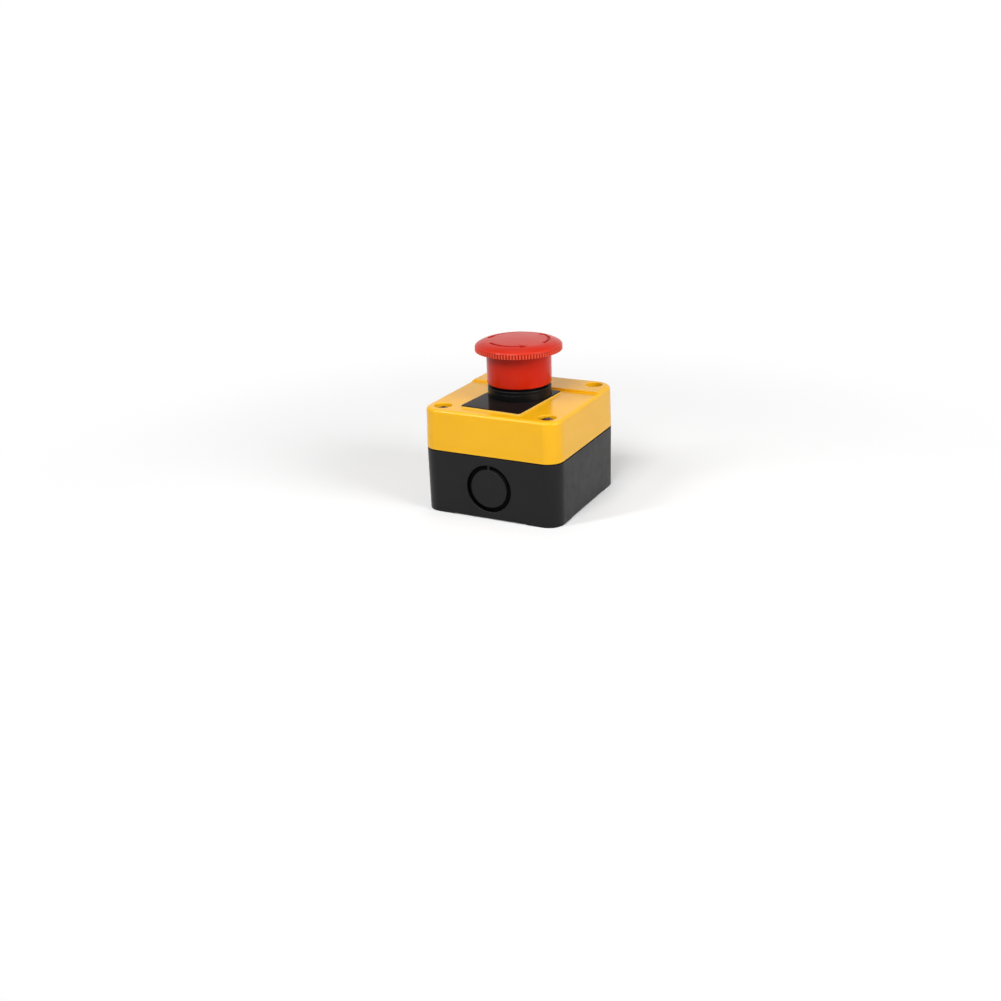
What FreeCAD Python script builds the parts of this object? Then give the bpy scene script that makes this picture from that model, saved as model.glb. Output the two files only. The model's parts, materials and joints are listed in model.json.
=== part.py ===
"""Emergency stop push button in a box with one button hole, as separate pieces in millimetres.

The feet stand on z = 0 and +Z is the button's axis. The wall with the cable knockout that
faces the viewer looks along -Y. The button is drawn pressed in and latched, and it rises by
button_travel when it is released.
"""
import FreeCAD
import Part
import math
import os

Vector = FreeCAD.Vector
UP = Vector(0, 0, 1)
level_tolerance = 1e-6
hexagon_sides = 6

# Driving dimensions: enclosure
box_width = 68.0
box_depth = 68.0
corner_radius = 7.7
base_draft_angle = 0.2
cover_draft_angle = 1.2
base_height = 30.0
base_wall = 2.5
base_floor = 2.5
foot_height = 0.5
foot_length = 15.5
cover_height = 19.0
cover_wall = 2.5
cover_top = 2.5
top_edge_radius = 1.6
bottom_edge_radius = 0.4
band_rise = 1.0
band_plate_gap = 2.8

# Driving dimensions: seam between base and cover
shadow_gap_height = 0.5
shadow_gap_depth = 0.5
seal_inset = 0.9
seal_groove_width = 1.2
seal_groove_depth = 1.6
seal_height = 1.1
seal_clearance = 0.1
tongue_clearance = 0.2

# Driving dimensions: corner screws of the cover
screw_pitch = 52.0
screw_shank_radius = 1.5
screw_shank_length = 30.0
screw_head_radius = 3.4
screw_head_height = 2.4
screw_head_crown = 0.7
screw_crown_flat = 0.8
screw_crown_bow = 0.15
screw_slot_width = 0.9
screw_slot_length = 4.0
screw_slot_depth = 1.3
screw_hole_clearance = 0.25
screw_pilot_clearance = 0.1
screw_pilot_spare = 2.0
well_clearance = 0.55
well_depth = 4.0
boss_overlap = 0.4

# Driving dimensions: fixing slots in the floor and cable knockouts in the walls
fixing_pitch = 48.0
fixing_slot_width = 5.0
fixing_slot_length = 8.0
fixing_boss_rim = 2.1
fixing_boss_height = 1.0
knockout_height = 14.7
knockout_radius = 11.1
knockout_groove_width = 2.2
knockout_groove_depth = 1.4
knockout_tab_width = 1.2
knockout_tab_depth = 0.5
knockout_tab_count = 1

# Driving dimensions: legend plate
plate_width = 30.5
plate_length = 39.2
plate_back_margin = 0.7
plate_thickness = 1.0
plate_corner_radius = 1.0
plate_edge_chamfer = 0.3
plate_turn = -3.5

# Driving dimensions: collar, barrel and what clamps them to the cover
button_travel = 4.0
thread_radius = 11.0
mounting_hole_clearance = 0.2
key_width = 3.0
key_rise = 1.0
key_clearance = 0.15
collar_radius = 14.75
collar_height = 4.9
collar_edge_radius = 0.6
collar_groove_start = 2.9
collar_groove_height = 1.0
collar_groove_depth = 0.25
neck_skirt_gap = 0.8
neck_height = 11.1
barrel_length = 15.5
barrel_bore_radius = 8.5
gasket_thread_gap = 0.6
gasket_width = 2.0
gasket_thickness = 0.8
washer_outer_radius = 14.2
washer_thickness = 0.8
washer_tooth_count = 12
washer_tooth_depth = 1.0
nut_across_flats = 27.0
nut_height = 4.0
nut_chamfer = 0.8
nut_clearance = 0.1
cap_flange_radius = 10.4
cap_flange_thickness = 0.8
cap_spigot_height = 2.0
cap_fit = 0.05

# Driving dimensions: mushroom head
skirt_gap = 1.0
skirt_radius = 14.9
skirt_wall = 1.5
skirt_height = 15.2
skirt_edge_radius = 0.6
rim_radius = 20.0
rim_height = 2.1
rim_lip = 1.4
rim_recess_depth = 1.3
rim_recess_taper = 0.4
rim_bow = 0.12
shoulder_drop = 0.9
shoulder_width = 0.8
shoulder_bow = 0.32
dome_radius = 14.0
dome_drop = 0.48
head_height = 5.1
head_top_wall = 2.8
serration_count = 90
serration_depth = 0.6
serration_width = 1.0
arrow_count = 3
arrow_radius = 13.9
arrow_line_width = 1.4
arrow_head_width = 4.0
arrow_line_start = -131.0
arrow_line_sweep = 70.0
arrow_head_sweep = 15.0
arrow_depth = 0.45
hub_radius = 8.2
head_rib_count = 6
head_rib_width = 1.2
head_rib_height = 4.0

# Driving dimensions: plunger, release spindle and latch pins
running_clearance = 0.1
plunger_rise = 0.5
plunger_shoulder_depth = 20.5
stem_radius = 5.6
stem_wall = 1.2
guide_rib_width = 2.0
guide_rib_rise = 0.8
guide_rib_height = 3.5
guide_rib_clearance = 0.15
seal_ring_width = 1.46
seal_ring_depth = 4.5
seal_ring_slack = 0.02
pusher_radius = 8.2
pusher_thickness = 2.0
pusher_spigot_height = 6.0
pusher_clearance = 0.2
spindle_spring_gap = 0.6
spindle_tip_radius = 2.5
spindle_drive_radius = 3.4
spindle_drive_flat = 2.7
spindle_drive_height = 5.0
spindle_fit = 0.05
spindle_shelf_depth = 16.7
spindle_shelf_thickness = 0.9
spindle_tip_length = 3.3
cam_height = 4.3
cam_margin = 1.0
cam_lobe_count = 4
cam_points_per_lobe = 12
latch_pin_radius = 1.2
latch_pin_fit = 0.05
latch_pin_travel = 0.8
latch_pin_cam_gap = 0.2
latch_relief = 0.4
clip_thickness = 0.66
clip_groove_radius = 1.9
clip_bore_gap = 0.4
clip_gap = 0.22
clip_mouth = 2.6
plunger_wall = 0.42
twist_spring_pocket_depth = 9.0
twist_spring_gap = 0.5
twist_spring_wire = 0.5
twist_spring_turns = 5
twist_spring_end_gap = 0.5
return_spring_gap = 0.8
return_spring_wire = 0.6
return_spring_turns = 4

# Driving dimensions: mounting collar that carries the contact blocks
carrier_size = 31.0
carrier_corner_radius = 3.0
carrier_nut_gap = 2.7
carrier_fit = 0.05
carrier_waist_start = 6.5
set_screw_radius = 1.5
set_screw_length = 1.98
set_screw_fit = 0.05
set_screw_tip_gap = 0.02
set_screw_drop = 3.0
set_screw_slot_width = 0.7
set_screw_slot_depth = 0.9

# Driving dimensions: contact blocks
block_gap = 0.3
block_width = 10.0
block_height = 19.5
block_wall = 1.2
block_ceiling = 1.5
block_cover_thickness = 1.2
block_stub = 0.5
hook_width = 5.0
hook_thickness = 1.0
hook_reach = 4.5
hook_root = 3.5
hook_barb = 0.75
hook_barb_height = 1.4
hook_clearance = 0.06
stub_width = 4.0
stub_length = 5.0
stub_clearance = 0.1
slider_width = 5.0
slider_length = 6.0
slider_stop_gap = 0.1
bridge_width = 3.0
bridge_screw_gap = 0.6
bridge_thickness = 0.6
bridge_clearance = 0.1
button_radius = 1.3
moving_button_height = 0.7
fixed_button_height = 0.5
contact_gap = 0.02
button_margin = 0.2
strip_width = 3.6
strip_thickness = 0.8
strip_overhang = 1.5
shelf_height = 3.0
shelf_length = 2.1
terminal_screw_radius = 1.45
terminal_screw_length = 5.2
terminal_head_radius = 2.5
terminal_head_height = 1.8
terminal_head_depth = 0.5
terminal_slot_width = 0.8
terminal_slot_depth = 0.8
terminal_hole_clearance = 0.15
terminal_access_clearance = 0.3
terminal_wall_gap = 0.25
clamp_size = 4.4
clamp_thickness = 1.0
wire_window_width = 4.4
wire_window_height = 1.8
wire_window_gap = 0.1
block_spring_radius = 1.75
block_spring_wire = 0.3
block_spring_turns = 3
spring_post_radius = 0.9
spring_post_height = 2.0
bridge_spring_radius = 1.1
bridge_spring_wire = 0.25
bridge_spring_turns = 5

# Levels along the button's axis, from the feet upwards
seam_z = base_height
floor_top_z = foot_height + base_floor
low_face_z = seam_z + cover_height
band_z = low_face_z + band_rise
cover_inner_z = low_face_z - cover_top
well_floor_z = low_face_z - well_depth
plate_top_z = low_face_z + plate_thickness
collar_top_z = plate_top_z + collar_height
neck_top_z = collar_top_z + neck_height
barrel_bottom_z = plate_top_z - barrel_length
skirt_bottom_z = collar_top_z + skirt_gap
rim_bottom_z = skirt_bottom_z + skirt_height
rim_top_z = rim_bottom_z + rim_height
head_top_z = rim_bottom_z + head_height
head_ceiling_z = head_top_z - head_top_wall
plunger_top_z = neck_top_z + plunger_rise
plunger_shoulder_z = plunger_top_z - plunger_shoulder_depth
shelf_top_z = plunger_top_z - spindle_shelf_depth
shelf_bottom_z = shelf_top_z - spindle_shelf_thickness
cam_bottom_z = shelf_top_z + running_clearance
cam_top_z = cam_bottom_z + cam_height
latch_z = cam_bottom_z + cam_height / 2
cap_top_z = barrel_bottom_z + cap_spigot_height
cap_bottom_z = barrel_bottom_z - cap_flange_thickness
pusher_top_z = cap_bottom_z - button_travel - pusher_clearance
pusher_bottom_z = pusher_top_z - pusher_thickness
nut_top_z = cover_inner_z - washer_thickness
nut_bottom_z = nut_top_z - nut_height
carrier_top_z = nut_bottom_z - carrier_nut_gap
block_top_z = pusher_bottom_z - block_stub
block_bottom_z = block_top_z - block_height
block_ceiling_z = block_top_z - block_ceiling
block_floor_z = block_bottom_z + block_wall
strip_bottom_z = block_floor_z + shelf_height
strip_top_z = strip_bottom_z + strip_thickness
slider_top_z = block_ceiling_z - button_travel - slider_stop_gap
closed_stack = strip_thickness + fixed_button_height + contact_gap + moving_button_height
window_top_z = block_ceiling_z - closed_stack - button_travel
window_bottom_z = strip_bottom_z + closed_stack

# Radii and places that follow from fits
well_radius = screw_head_radius + well_clearance
mounting_hole_radius = thread_radius + mounting_hole_clearance
plate_back_y = mounting_hole_radius + plate_back_margin
band_front_y = plate_back_y + band_plate_gap
neck_radius = skirt_radius - skirt_wall - neck_skirt_gap
gasket_inner_radius = thread_radius + gasket_thread_gap
gasket_outer_radius = gasket_inner_radius + gasket_width
plunger_radius = barrel_bore_radius - running_clearance
seal_ring_outer = barrel_bore_radius - seal_ring_slack
seal_groove_radius = seal_ring_outer - seal_ring_width
twist_spring_pocket_radius = seal_groove_radius - plunger_wall
twist_spring_radius = twist_spring_pocket_radius - twist_spring_gap - twist_spring_wire
spindle_radius = twist_spring_radius - twist_spring_wire - spindle_spring_gap
spindle_bore_radius = spindle_radius + running_clearance
cam_radius = spindle_radius - cam_margin
stem_bore_radius = stem_radius - stem_wall
clip_outer_radius = stem_bore_radius - clip_bore_gap
return_spring_radius = stem_radius + return_spring_wire + return_spring_gap
set_screw_start = thread_radius + set_screw_tip_gap
waist_half = set_screw_start + set_screw_length
set_screw_z = carrier_top_z - set_screw_drop
tip_bore_radius = spindle_tip_radius + running_clearance
pin_bore_radius = latch_pin_radius + latch_pin_fit
cam_lift = (latch_pin_travel - latch_pin_cam_gap / 2) / 2
latch_pin_reach = latch_pin_travel - 2 * running_clearance
pin_inner_end = cam_radius + cam_lift + latch_pin_cam_gap
pin_outer_end = barrel_bore_radius + latch_pin_reach
block_inner_x = block_gap / 2
block_centre_x = block_inner_x + block_width / 2
block_cover_x = block_inner_x + block_width - block_cover_thickness
block_end_y = carrier_size / 2
block_cavity_y = block_end_y - block_wall
terminal_y = block_cavity_y - terminal_wall_gap - terminal_head_radius
shelf_end_y = terminal_y - terminal_head_radius - terminal_wall_gap
bridge_end_y = terminal_y - terminal_screw_radius - bridge_screw_gap
contact_y = bridge_end_y - button_radius - button_margin


def box(x0, x1, y0, y1, z0, z1):
    """Return a block between opposite corners given in any order."""
    low = Vector(min(x0, x1), min(y0, y1), min(z0, z1))
    return Part.makeBox(abs(x1 - x0), abs(y1 - y0), abs(z1 - z0), low)


def rod(radius, z0, z1, x=0.0, y=0.0):
    """Return an upright cylinder."""
    return Part.makeCylinder(radius, z1 - z0, Vector(x, y, z0), UP)


def ring(outer_radius, inner_radius, z0, z1, x=0.0, y=0.0):
    """Return an upright tube."""
    return rod(outer_radius, z0, z1, x, y).cut(rod(inner_radius, z0, z1, x, y))


def round_ended(length, width, z0, z1, x):
    """Return an upright block with round ends, long in X and centred at a place on that axis."""
    radius = width / 2
    run = length / 2 - radius
    middle = box(x - run, x + run, -radius, radius, z0, z1)
    ends = [rod(radius, z0, z1, x - run), rod(radius, z0, z1, x + run)]
    return middle.fuse(ends).removeSplitter()


def outline(width, depth, radius, z):
    """Return a rounded rectangle as a closed wire, centred on the axis."""
    half_x = width / 2
    half_y = depth / 2
    flat_x = half_x - radius
    flat_y = half_y - radius
    turn = radius * math.sqrt(0.5)
    edges = []
    signs = ((1, 1), (-1, 1), (-1, -1), (1, -1))
    for index, (sx, sy) in enumerate(signs):
        on_side = Vector(sx * half_x, sy * flat_y, z)
        on_end = Vector(sx * flat_x, sy * half_y, z)
        middle = Vector(sx * (flat_x + turn), sy * (flat_y + turn), z)
        first, last = (on_side, on_end) if sx * sy > 0 else (on_end, on_side)
        edges.append(Part.Arc(first, middle, last).toShape())
        next_sx, next_sy = signs[(index + 1) % len(signs)]
        if next_sx != sx:
            start = Vector(next_sx * flat_x, next_sy * half_y, z)
        else:
            start = Vector(next_sx * half_x, next_sy * flat_y, z)
        edges.append(Part.LineSegment(last, start).toShape())
    return Part.Wire(edges)


def wall_outline(inset, z):
    """Return the box's outline at a level, moved inwards by inset and by the draft."""
    draft_angle = base_draft_angle if z < seam_z else cover_draft_angle
    shrink = inset + abs(z - seam_z) * math.tan(math.radians(draft_angle))
    return outline(box_width - 2 * shrink, box_depth - 2 * shrink, corner_radius - shrink, z)


def drafted_block(inset, z0, z1):
    """Return the box's drafted body between two levels on one side of the seam."""
    return Part.makeLoft([wall_outline(inset, z0), wall_outline(inset, z1)], True, True)


def straight_block(inset, z0, z1):
    """Return the box's outline at the seam carried straight between two levels."""
    inner = outline(box_width - 2 * inset, box_depth - 2 * inset, corner_radius - inset, z0)
    return Part.Face(inner).extrude(Vector(0, 0, z1 - z0))


def revolve(edges):
    """Return the solid swept by a closed profile in the XZ plane turned about the axis."""
    return Part.Face(Part.Wire(edges)).revolve(Vector(0, 0, 0), UP, 360)


def line(start, end):
    """Return a straight profile edge between two (radius, height) points."""
    return Part.LineSegment(Vector(start[0], 0, start[1]), Vector(end[0], 0, end[1])).toShape()


def arc(start, middle, end):
    """Return a profile arc through three (radius, height) points."""
    points = [Vector(radius, 0, height) for radius, height in (start, middle, end)]
    return Part.Arc(*points).toShape()


def bowed(start, end, bow):
    """Return a profile arc between two (radius, height) points that bulges outwards by bow."""
    run = end[0] - start[0]
    drop = start[1] - end[1]
    span = math.hypot(run, drop)
    middle_radius = (start[0] + end[0]) / 2 + bow * drop / span
    middle_height = (start[1] + end[1]) / 2 + bow * run / span
    return arc(start, (middle_radius, middle_height), end)


def chain(points):
    """Return straight edges through (radius, height) points in order."""
    return [line(start, end) for start, end in zip(points, points[1:])]


def polar(radius, degrees, z=0.0):
    """Return the point at a radius and an angle about the axis."""
    angle = math.radians(degrees)
    return Vector(radius * math.cos(angle), radius * math.sin(angle), z)


def hexagon(radius):
    """Return the corners of a hexagon as a closed list of flat (u, v) points."""
    corner_angles = [2 * math.pi * k / hexagon_sides for k in range(hexagon_sides + 1)]
    return [(radius * math.cos(angle), radius * math.sin(angle)) for angle in corner_angles]


def around(shape, count):
    """Return count copies of a shape, spaced evenly about the axis, as one compound."""
    copies = []
    for index in range(count):
        copy = shape.copy()
        copy.rotate(Vector(0, 0, 0), UP, 360.0 * index / count)
        copies.append(copy)
    return Part.makeCompound(copies)


def corners(pitch):
    """Return the four corner places of a square pattern."""
    half = pitch / 2
    return [(sx * half, sy * half) for sx in (-1, 1) for sy in (-1, 1)]


def coil(radius, wire, turns, z0, z1, x=0.0, y=0.0):
    """Return a coil spring of six-sided wire between two seats."""
    height = z1 - z0 - 2 * wire
    helix = Part.makeHelix(height / turns, height, radius)
    points = [Vector(radius + u, 0, v) for u, v in hexagon(wire)]
    spring = Part.Wire(helix.Edges).makePipeShell([Part.makePolygon(points)], True, True)
    spring.translate(Vector(x, y, z0 + wire))
    return spring


def at_places(shape, places):
    """Return one copy of a shape at each (x, y) place, as one compound of separate solids."""
    copies = []
    for x, y in places:
        copy = shape.copy()
        copy.translate(Vector(x, y, 0))
        copies.append(copy)
    return Part.makeCompound(copies)


def knockout_cutter():
    """Return the ring groove of a cable knockout, to be cut into the wall that faces -Y."""
    inset = (seam_z - knockout_height) * math.tan(math.radians(base_draft_angle))
    face_y = -(box_depth / 2 - inset)
    outside_y = -box_depth / 2
    inner_radius = knockout_radius - knockout_groove_width
    centre = Vector(0, outside_y, knockout_height)
    depth = face_y + knockout_groove_depth - outside_y
    along = Vector(0, 1, 0)
    groove = Part.makeCylinder(knockout_radius, depth, centre, along)
    groove = groove.cut(Part.makeCylinder(inner_radius, depth, centre, along))
    half = knockout_tab_width / 2
    tab = box(-half, half, face_y + knockout_tab_depth, face_y + 2 * knockout_groove_depth,
              knockout_height, knockout_height + knockout_radius)
    for index in range(knockout_tab_count):
        copy = tab.copy()
        copy.rotate(centre, along, 360.0 * index / knockout_tab_count)
        groove = groove.cut(copy)
    return groove


def base_box():
    """Return the open base with posts, feet, fixing slots, knockouts and the groove for the seal."""
    body = drafted_block(0, 0, seam_z)
    low_edges = [edge for edge in body.Edges if edge.BoundBox.ZMax < level_tolerance]
    body = body.makeFillet(bottom_edge_radius, low_edges)
    span_x = box_width / 2 - foot_length
    span_y = box_depth / 2 - foot_length
    body = body.cut(box(-span_x, span_x, -box_depth, box_depth, 0, foot_height))
    body = body.cut(box(-box_width, box_width, -span_y, span_y, 0, foot_height))
    cavity = drafted_block(base_wall, floor_top_z, seam_z)
    boss_length = fixing_slot_length + 2 * fixing_boss_rim
    boss_width = fixing_slot_width + 2 * fixing_boss_rim
    boss_top_z = floor_top_z + fixing_boss_height
    post_radius = corner_radius - base_wall + boss_overlap
    for x, y in corners(screw_pitch):
        cavity = cavity.cut(rod(post_radius, floor_top_z, seam_z, x, y))
    for side in (-1, 1):
        place = side * fixing_pitch / 2
        cavity = cavity.cut(round_ended(boss_length, boss_width, floor_top_z, boss_top_z, place))
    body = body.cut(cavity)
    pilot_radius = screw_shank_radius + screw_pilot_clearance
    pilot_end = well_floor_z - screw_shank_length - screw_pilot_spare
    for x, y in corners(screw_pitch):
        body = body.cut(rod(pilot_radius, pilot_end, seam_z, x, y))
    for side in (-1, 1):
        place = side * fixing_pitch / 2
        body = body.cut(round_ended(fixing_slot_length, fixing_slot_width, 0, boss_top_z, place))
    groove_bottom = seam_z - seal_groove_depth
    groove = straight_block(seal_inset, groove_bottom, seam_z)
    body = body.cut(groove.cut(straight_block(seal_inset + seal_groove_width, groove_bottom, seam_z)))
    gap_bottom = seam_z - shadow_gap_height
    gap = straight_block(-shadow_gap_depth, gap_bottom, seam_z)
    body = body.cut(gap.cut(straight_block(shadow_gap_depth, gap_bottom, seam_z)))
    groove = knockout_cutter()
    body = body.cut(groove)
    groove.rotate(Vector(0, 0, 0), UP, 180)
    return body.cut(groove).removeSplitter()


def top_cover():
    """Return the cover with its raised back band, screw wells, keyed button hole and tongue."""
    front_half = box(-box_width, box_width, -box_depth, band_front_y, seam_z, band_z)
    back_half = box(-box_width, box_width, band_front_y, box_depth, seam_z, band_z)
    front = rounded_top(low_face_z).common(front_half)
    band = rounded_top(band_z).common(back_half)
    body = front.fuse(band).removeSplitter()
    cavity = drafted_block(cover_wall, seam_z, cover_inner_z)
    boss_radius = corner_radius - cover_wall + boss_overlap
    for x, y in corners(screw_pitch):
        cavity = cavity.cut(rod(boss_radius, seam_z, cover_inner_z, x, y))
    body = body.cut(cavity)
    hole_radius = screw_shank_radius + screw_hole_clearance
    for x, y in corners(screw_pitch):
        body = body.cut(rod(hole_radius, seam_z, well_floor_z, x, y))
        body = body.cut(rod(well_radius, well_floor_z, band_z, x, y))
    body = body.cut(rod(mounting_hole_radius, cover_inner_z, low_face_z))
    body = body.cut(barrel_key(key_clearance, cover_inner_z, low_face_z))
    tongue_inset = seal_inset + tongue_clearance
    tongue_width = seal_groove_width - 2 * tongue_clearance
    tongue_bottom = seam_z - seal_groove_depth + seal_height
    tongue = straight_block(tongue_inset, tongue_bottom, seam_z)
    tongue = tongue.cut(straight_block(tongue_inset + tongue_width, tongue_bottom, seam_z))
    return body.fuse(tongue).removeSplitter()


def rounded_top(top_z):
    """Return the cover's drafted body up to a level, with its upper edge rounded.

    The rounding starts at the same place on the wall at either level, so the step dies out at the sides.
    """
    body = drafted_block(0, seam_z, top_z)
    high_edges = [edge for edge in body.Edges if abs(edge.BoundBox.ZMin - top_z) < level_tolerance]
    return body.makeFillet(top_edge_radius + top_z - low_face_z, high_edges)


def barrel_key(clearance, z0, z1):
    """Return the key on the barrel's front, grown by a clearance where it is a cutter."""
    half = key_width / 2 + clearance
    return box(-half, half, -(thread_radius + key_rise + clearance), 0, z0, z1)


def cover_seal():
    """Return the rubber cord that lies in the groove of the base."""
    inset = seal_inset + seal_clearance
    width = seal_groove_width - 2 * seal_clearance
    bottom = seam_z - seal_groove_depth
    top = bottom + seal_height
    return straight_block(inset, bottom, top).cut(straight_block(inset + width, bottom, top))


def cover_screws():
    """Return the four crowned cross-head screws that hold the cover on the base."""
    side_z = well_floor_z + screw_head_height - screw_head_crown
    top_z = well_floor_z + screw_head_height
    tip_z = well_floor_z - screw_shank_length
    neck = screw_shank_radius
    crown_start = (screw_crown_flat, top_z)
    crown_end = (screw_head_radius, side_z)
    edges = [bowed(crown_start, crown_end, screw_crown_bow)]
    edges += chain([crown_end, (screw_head_radius, well_floor_z), (neck, well_floor_z), (neck, tip_z),
                    (0, tip_z), (0, top_z), crown_start])
    screw = revolve(edges)
    low = top_z - screw_slot_depth
    high = top_z + screw_head_crown
    for length, width in ((screw_slot_length, screw_slot_width), (screw_slot_width, screw_slot_length)):
        screw = screw.cut(box(-length / 2, length / 2, -width / 2, width / 2, low, high))
    return at_places(screw, corners(screw_pitch))


def legend_plate():
    """Return the bare plate under the collar, turned a little as it sits on the cover."""
    plate = Part.Face(outline(plate_width, plate_length, plate_corner_radius, low_face_z))
    plate = plate.extrude(Vector(0, 0, plate_thickness))
    plate.translate(Vector(0, plate_back_y - plate_length / 2, 0))
    high_edges = [edge for edge in plate.Edges if abs(edge.BoundBox.ZMin - plate_top_z) < level_tolerance]
    plate = plate.makeChamfer(plate_edge_chamfer, high_edges)
    plate = plate.cut(rod(mounting_hole_radius, low_face_z, plate_top_z))
    plate.rotate(Vector(0, 0, 0), UP, plate_turn)
    return plate.cut(barrel_key(key_clearance, low_face_z, plate_top_z))


def bezel_barrel():
    """Return the collar on the plate, the neck inside the skirt and the barrel through the cover."""
    groove_low = plate_top_z + collar_groove_start
    groove_high = groove_low + collar_groove_height
    groove_radius = collar_radius - collar_groove_depth
    round_mid = collar_edge_radius * (1 - math.sqrt(0.5))
    round_start = (collar_radius, collar_top_z - collar_edge_radius)
    round_middle = (collar_radius - round_mid, collar_top_z - round_mid)
    round_end = (collar_radius - collar_edge_radius, collar_top_z)
    edges = chain([(barrel_bore_radius, barrel_bottom_z), (thread_radius, barrel_bottom_z),
                   (thread_radius, plate_top_z), (collar_radius, plate_top_z),
                   (collar_radius, groove_low), (groove_radius, groove_low),
                   (groove_radius, groove_high), (collar_radius, groove_high), round_start])
    edges.append(arc(round_start, round_middle, round_end))
    edges += chain([round_end, (neck_radius, collar_top_z), (neck_radius, neck_top_z),
                    (barrel_bore_radius, neck_top_z), (barrel_bore_radius, barrel_bottom_z)])
    body = revolve(edges)
    key = barrel_key(0, cover_inner_z, plate_top_z)
    body = body.fuse(key.cut(rod(barrel_bore_radius, cover_inner_z, plate_top_z)))
    body = body.cut(bezel_gasket())
    relief_low = latch_z - latch_pin_radius - latch_relief
    relief_high = latch_z + latch_pin_radius + latch_relief + button_travel
    body = body.cut(rod(pin_outer_end + latch_relief, relief_low, relief_high))
    slot_half = guide_rib_width / 2 + guide_rib_clearance
    slot_end = barrel_bore_radius + guide_rib_rise + guide_rib_clearance
    slot_high = plunger_shoulder_z + guide_rib_height + button_travel + 2 * guide_rib_clearance
    slot = box(-slot_half, slot_half, 0, slot_end, barrel_bottom_z, slot_high)
    return body.cut(slot).removeSplitter()


def bezel_gasket():
    """Return the flat gasket in the collar's underside."""
    return ring(gasket_outer_radius, gasket_inner_radius, plate_top_z, plate_top_z + gasket_thickness)


def lock_washer():
    """Return the toothed washer between the nut and the cover."""
    low = nut_top_z
    washer = ring(washer_outer_radius, mounting_hole_radius, low, cover_inner_z)
    half_angle = 90.0 / washer_tooth_count
    inner = washer_outer_radius - washer_tooth_depth
    outer = washer_outer_radius + washer_tooth_depth
    points = [polar(inner, -half_angle, low), polar(outer, -half_angle, low),
              polar(outer, half_angle, low), polar(inner, half_angle, low), polar(inner, -half_angle, low)]
    notch = Part.Face(Part.makePolygon(points)).extrude(Vector(0, 0, washer_thickness))
    return washer.cut(around(notch, washer_tooth_count))


def panel_nut():
    """Return the hexagon nut that clamps the barrel to the cover."""
    low = nut_bottom_z
    high = nut_top_z
    corner = nut_across_flats / math.sqrt(3)
    points = [Vector(u, v, low) for u, v in hexagon(corner)]
    nut = Part.Face(Part.makePolygon(points)).extrude(Vector(0, 0, nut_height))
    flat = nut_across_flats / 2
    edges = chain([(0, low), (flat, low), (flat + 2 * nut_chamfer, low + nut_chamfer),
                   (flat + 2 * nut_chamfer, high), (0, high), (0, low)])
    nut = nut.common(revolve(edges))
    return nut.cut(rod(thread_radius + nut_clearance, low, high))


def barrel_cap():
    """Return the flanged bush in the barrel's lower end, which guides the stem and seats the spring."""
    spigot = rod(barrel_bore_radius - cap_fit, barrel_bottom_z, cap_top_z)
    flange = rod(cap_flange_radius, cap_bottom_z, barrel_bottom_z)
    bore = rod(stem_radius + running_clearance, cap_bottom_z, cap_top_z)
    return flange.fuse(spigot).cut(bore).removeSplitter()


def arrow_cutter():
    """Return one curved arrow that points anticlockwise seen from above, to be cut into the dome."""
    low = dome_height(arrow_radius) - arrow_depth
    half_line = arrow_line_width / 2
    half_head = arrow_head_width / 2
    middle = arrow_line_start + arrow_line_sweep / 2
    neck = arrow_line_start + arrow_line_sweep
    tip = polar(arrow_radius, neck + arrow_head_sweep, low)
    outer = arrow_radius + half_line
    inner = arrow_radius - half_line
    outer_tail = polar(outer, arrow_line_start, low)
    inner_tail = polar(inner, arrow_line_start, low)
    far = Part.Arc(outer_tail, polar(outer, middle, low), polar(outer, neck, low))
    near = Part.Arc(polar(inner, neck, low), polar(inner, middle, low), inner_tail)
    head = [polar(outer, neck, low), polar(arrow_radius + half_head, neck, low), tip,
            polar(arrow_radius - half_head, neck, low), polar(inner, neck, low)]
    edges = [far.toShape()]
    edges += [Part.LineSegment(start, end).toShape() for start, end in zip(head, head[1:])]
    edges.append(near.toShape())
    edges.append(Part.LineSegment(inner_tail, outer_tail).toShape())
    return Part.Face(Part.Wire(edges)).extrude(Vector(0, 0, head_top_z - low))


def dome_height(radius):
    """Return the level of the head's domed top at a radius, on a shallow parabola."""
    return head_top_z - dome_drop * (radius / dome_radius) ** 2


def head_shell():
    """Return the turned shell of the head: dome, shoulder, rim, recessed underside and skirt."""
    dome_edge = (dome_radius, dome_height(dome_radius))
    shoulder_end = (rim_radius - shoulder_width, rim_top_z + shoulder_drop)
    rim_start = (rim_radius, rim_top_z)
    lip_inner = rim_radius - rim_lip
    recess_z = rim_bottom_z + rim_recess_depth
    recess_outer = lip_inner - rim_recess_taper
    skirt_inner = skirt_radius - skirt_wall
    edge_mid = skirt_edge_radius * (1 - math.sqrt(0.5))
    edge_start = (skirt_radius, skirt_bottom_z + skirt_edge_radius)
    edge_middle = (skirt_radius - edge_mid, skirt_bottom_z + edge_mid)
    edge_end = (skirt_radius - skirt_edge_radius, skirt_bottom_z)
    edges = [arc((0, head_top_z), (dome_radius / 2, dome_height(dome_radius / 2)), dome_edge)]
    edges.append(bowed(dome_edge, shoulder_end, shoulder_bow))
    edges.append(bowed(shoulder_end, rim_start, rim_bow))
    edges += chain([rim_start, (rim_radius, rim_bottom_z), (lip_inner, rim_bottom_z),
                    (recess_outer, recess_z), (skirt_radius, recess_z), edge_start])
    edges.append(arc(edge_start, edge_middle, edge_end))
    edges += chain([edge_end, (skirt_inner, skirt_bottom_z), (skirt_inner, head_ceiling_z),
                    (0, head_ceiling_z), (0, head_top_z)])
    return revolve(edges)


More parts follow.
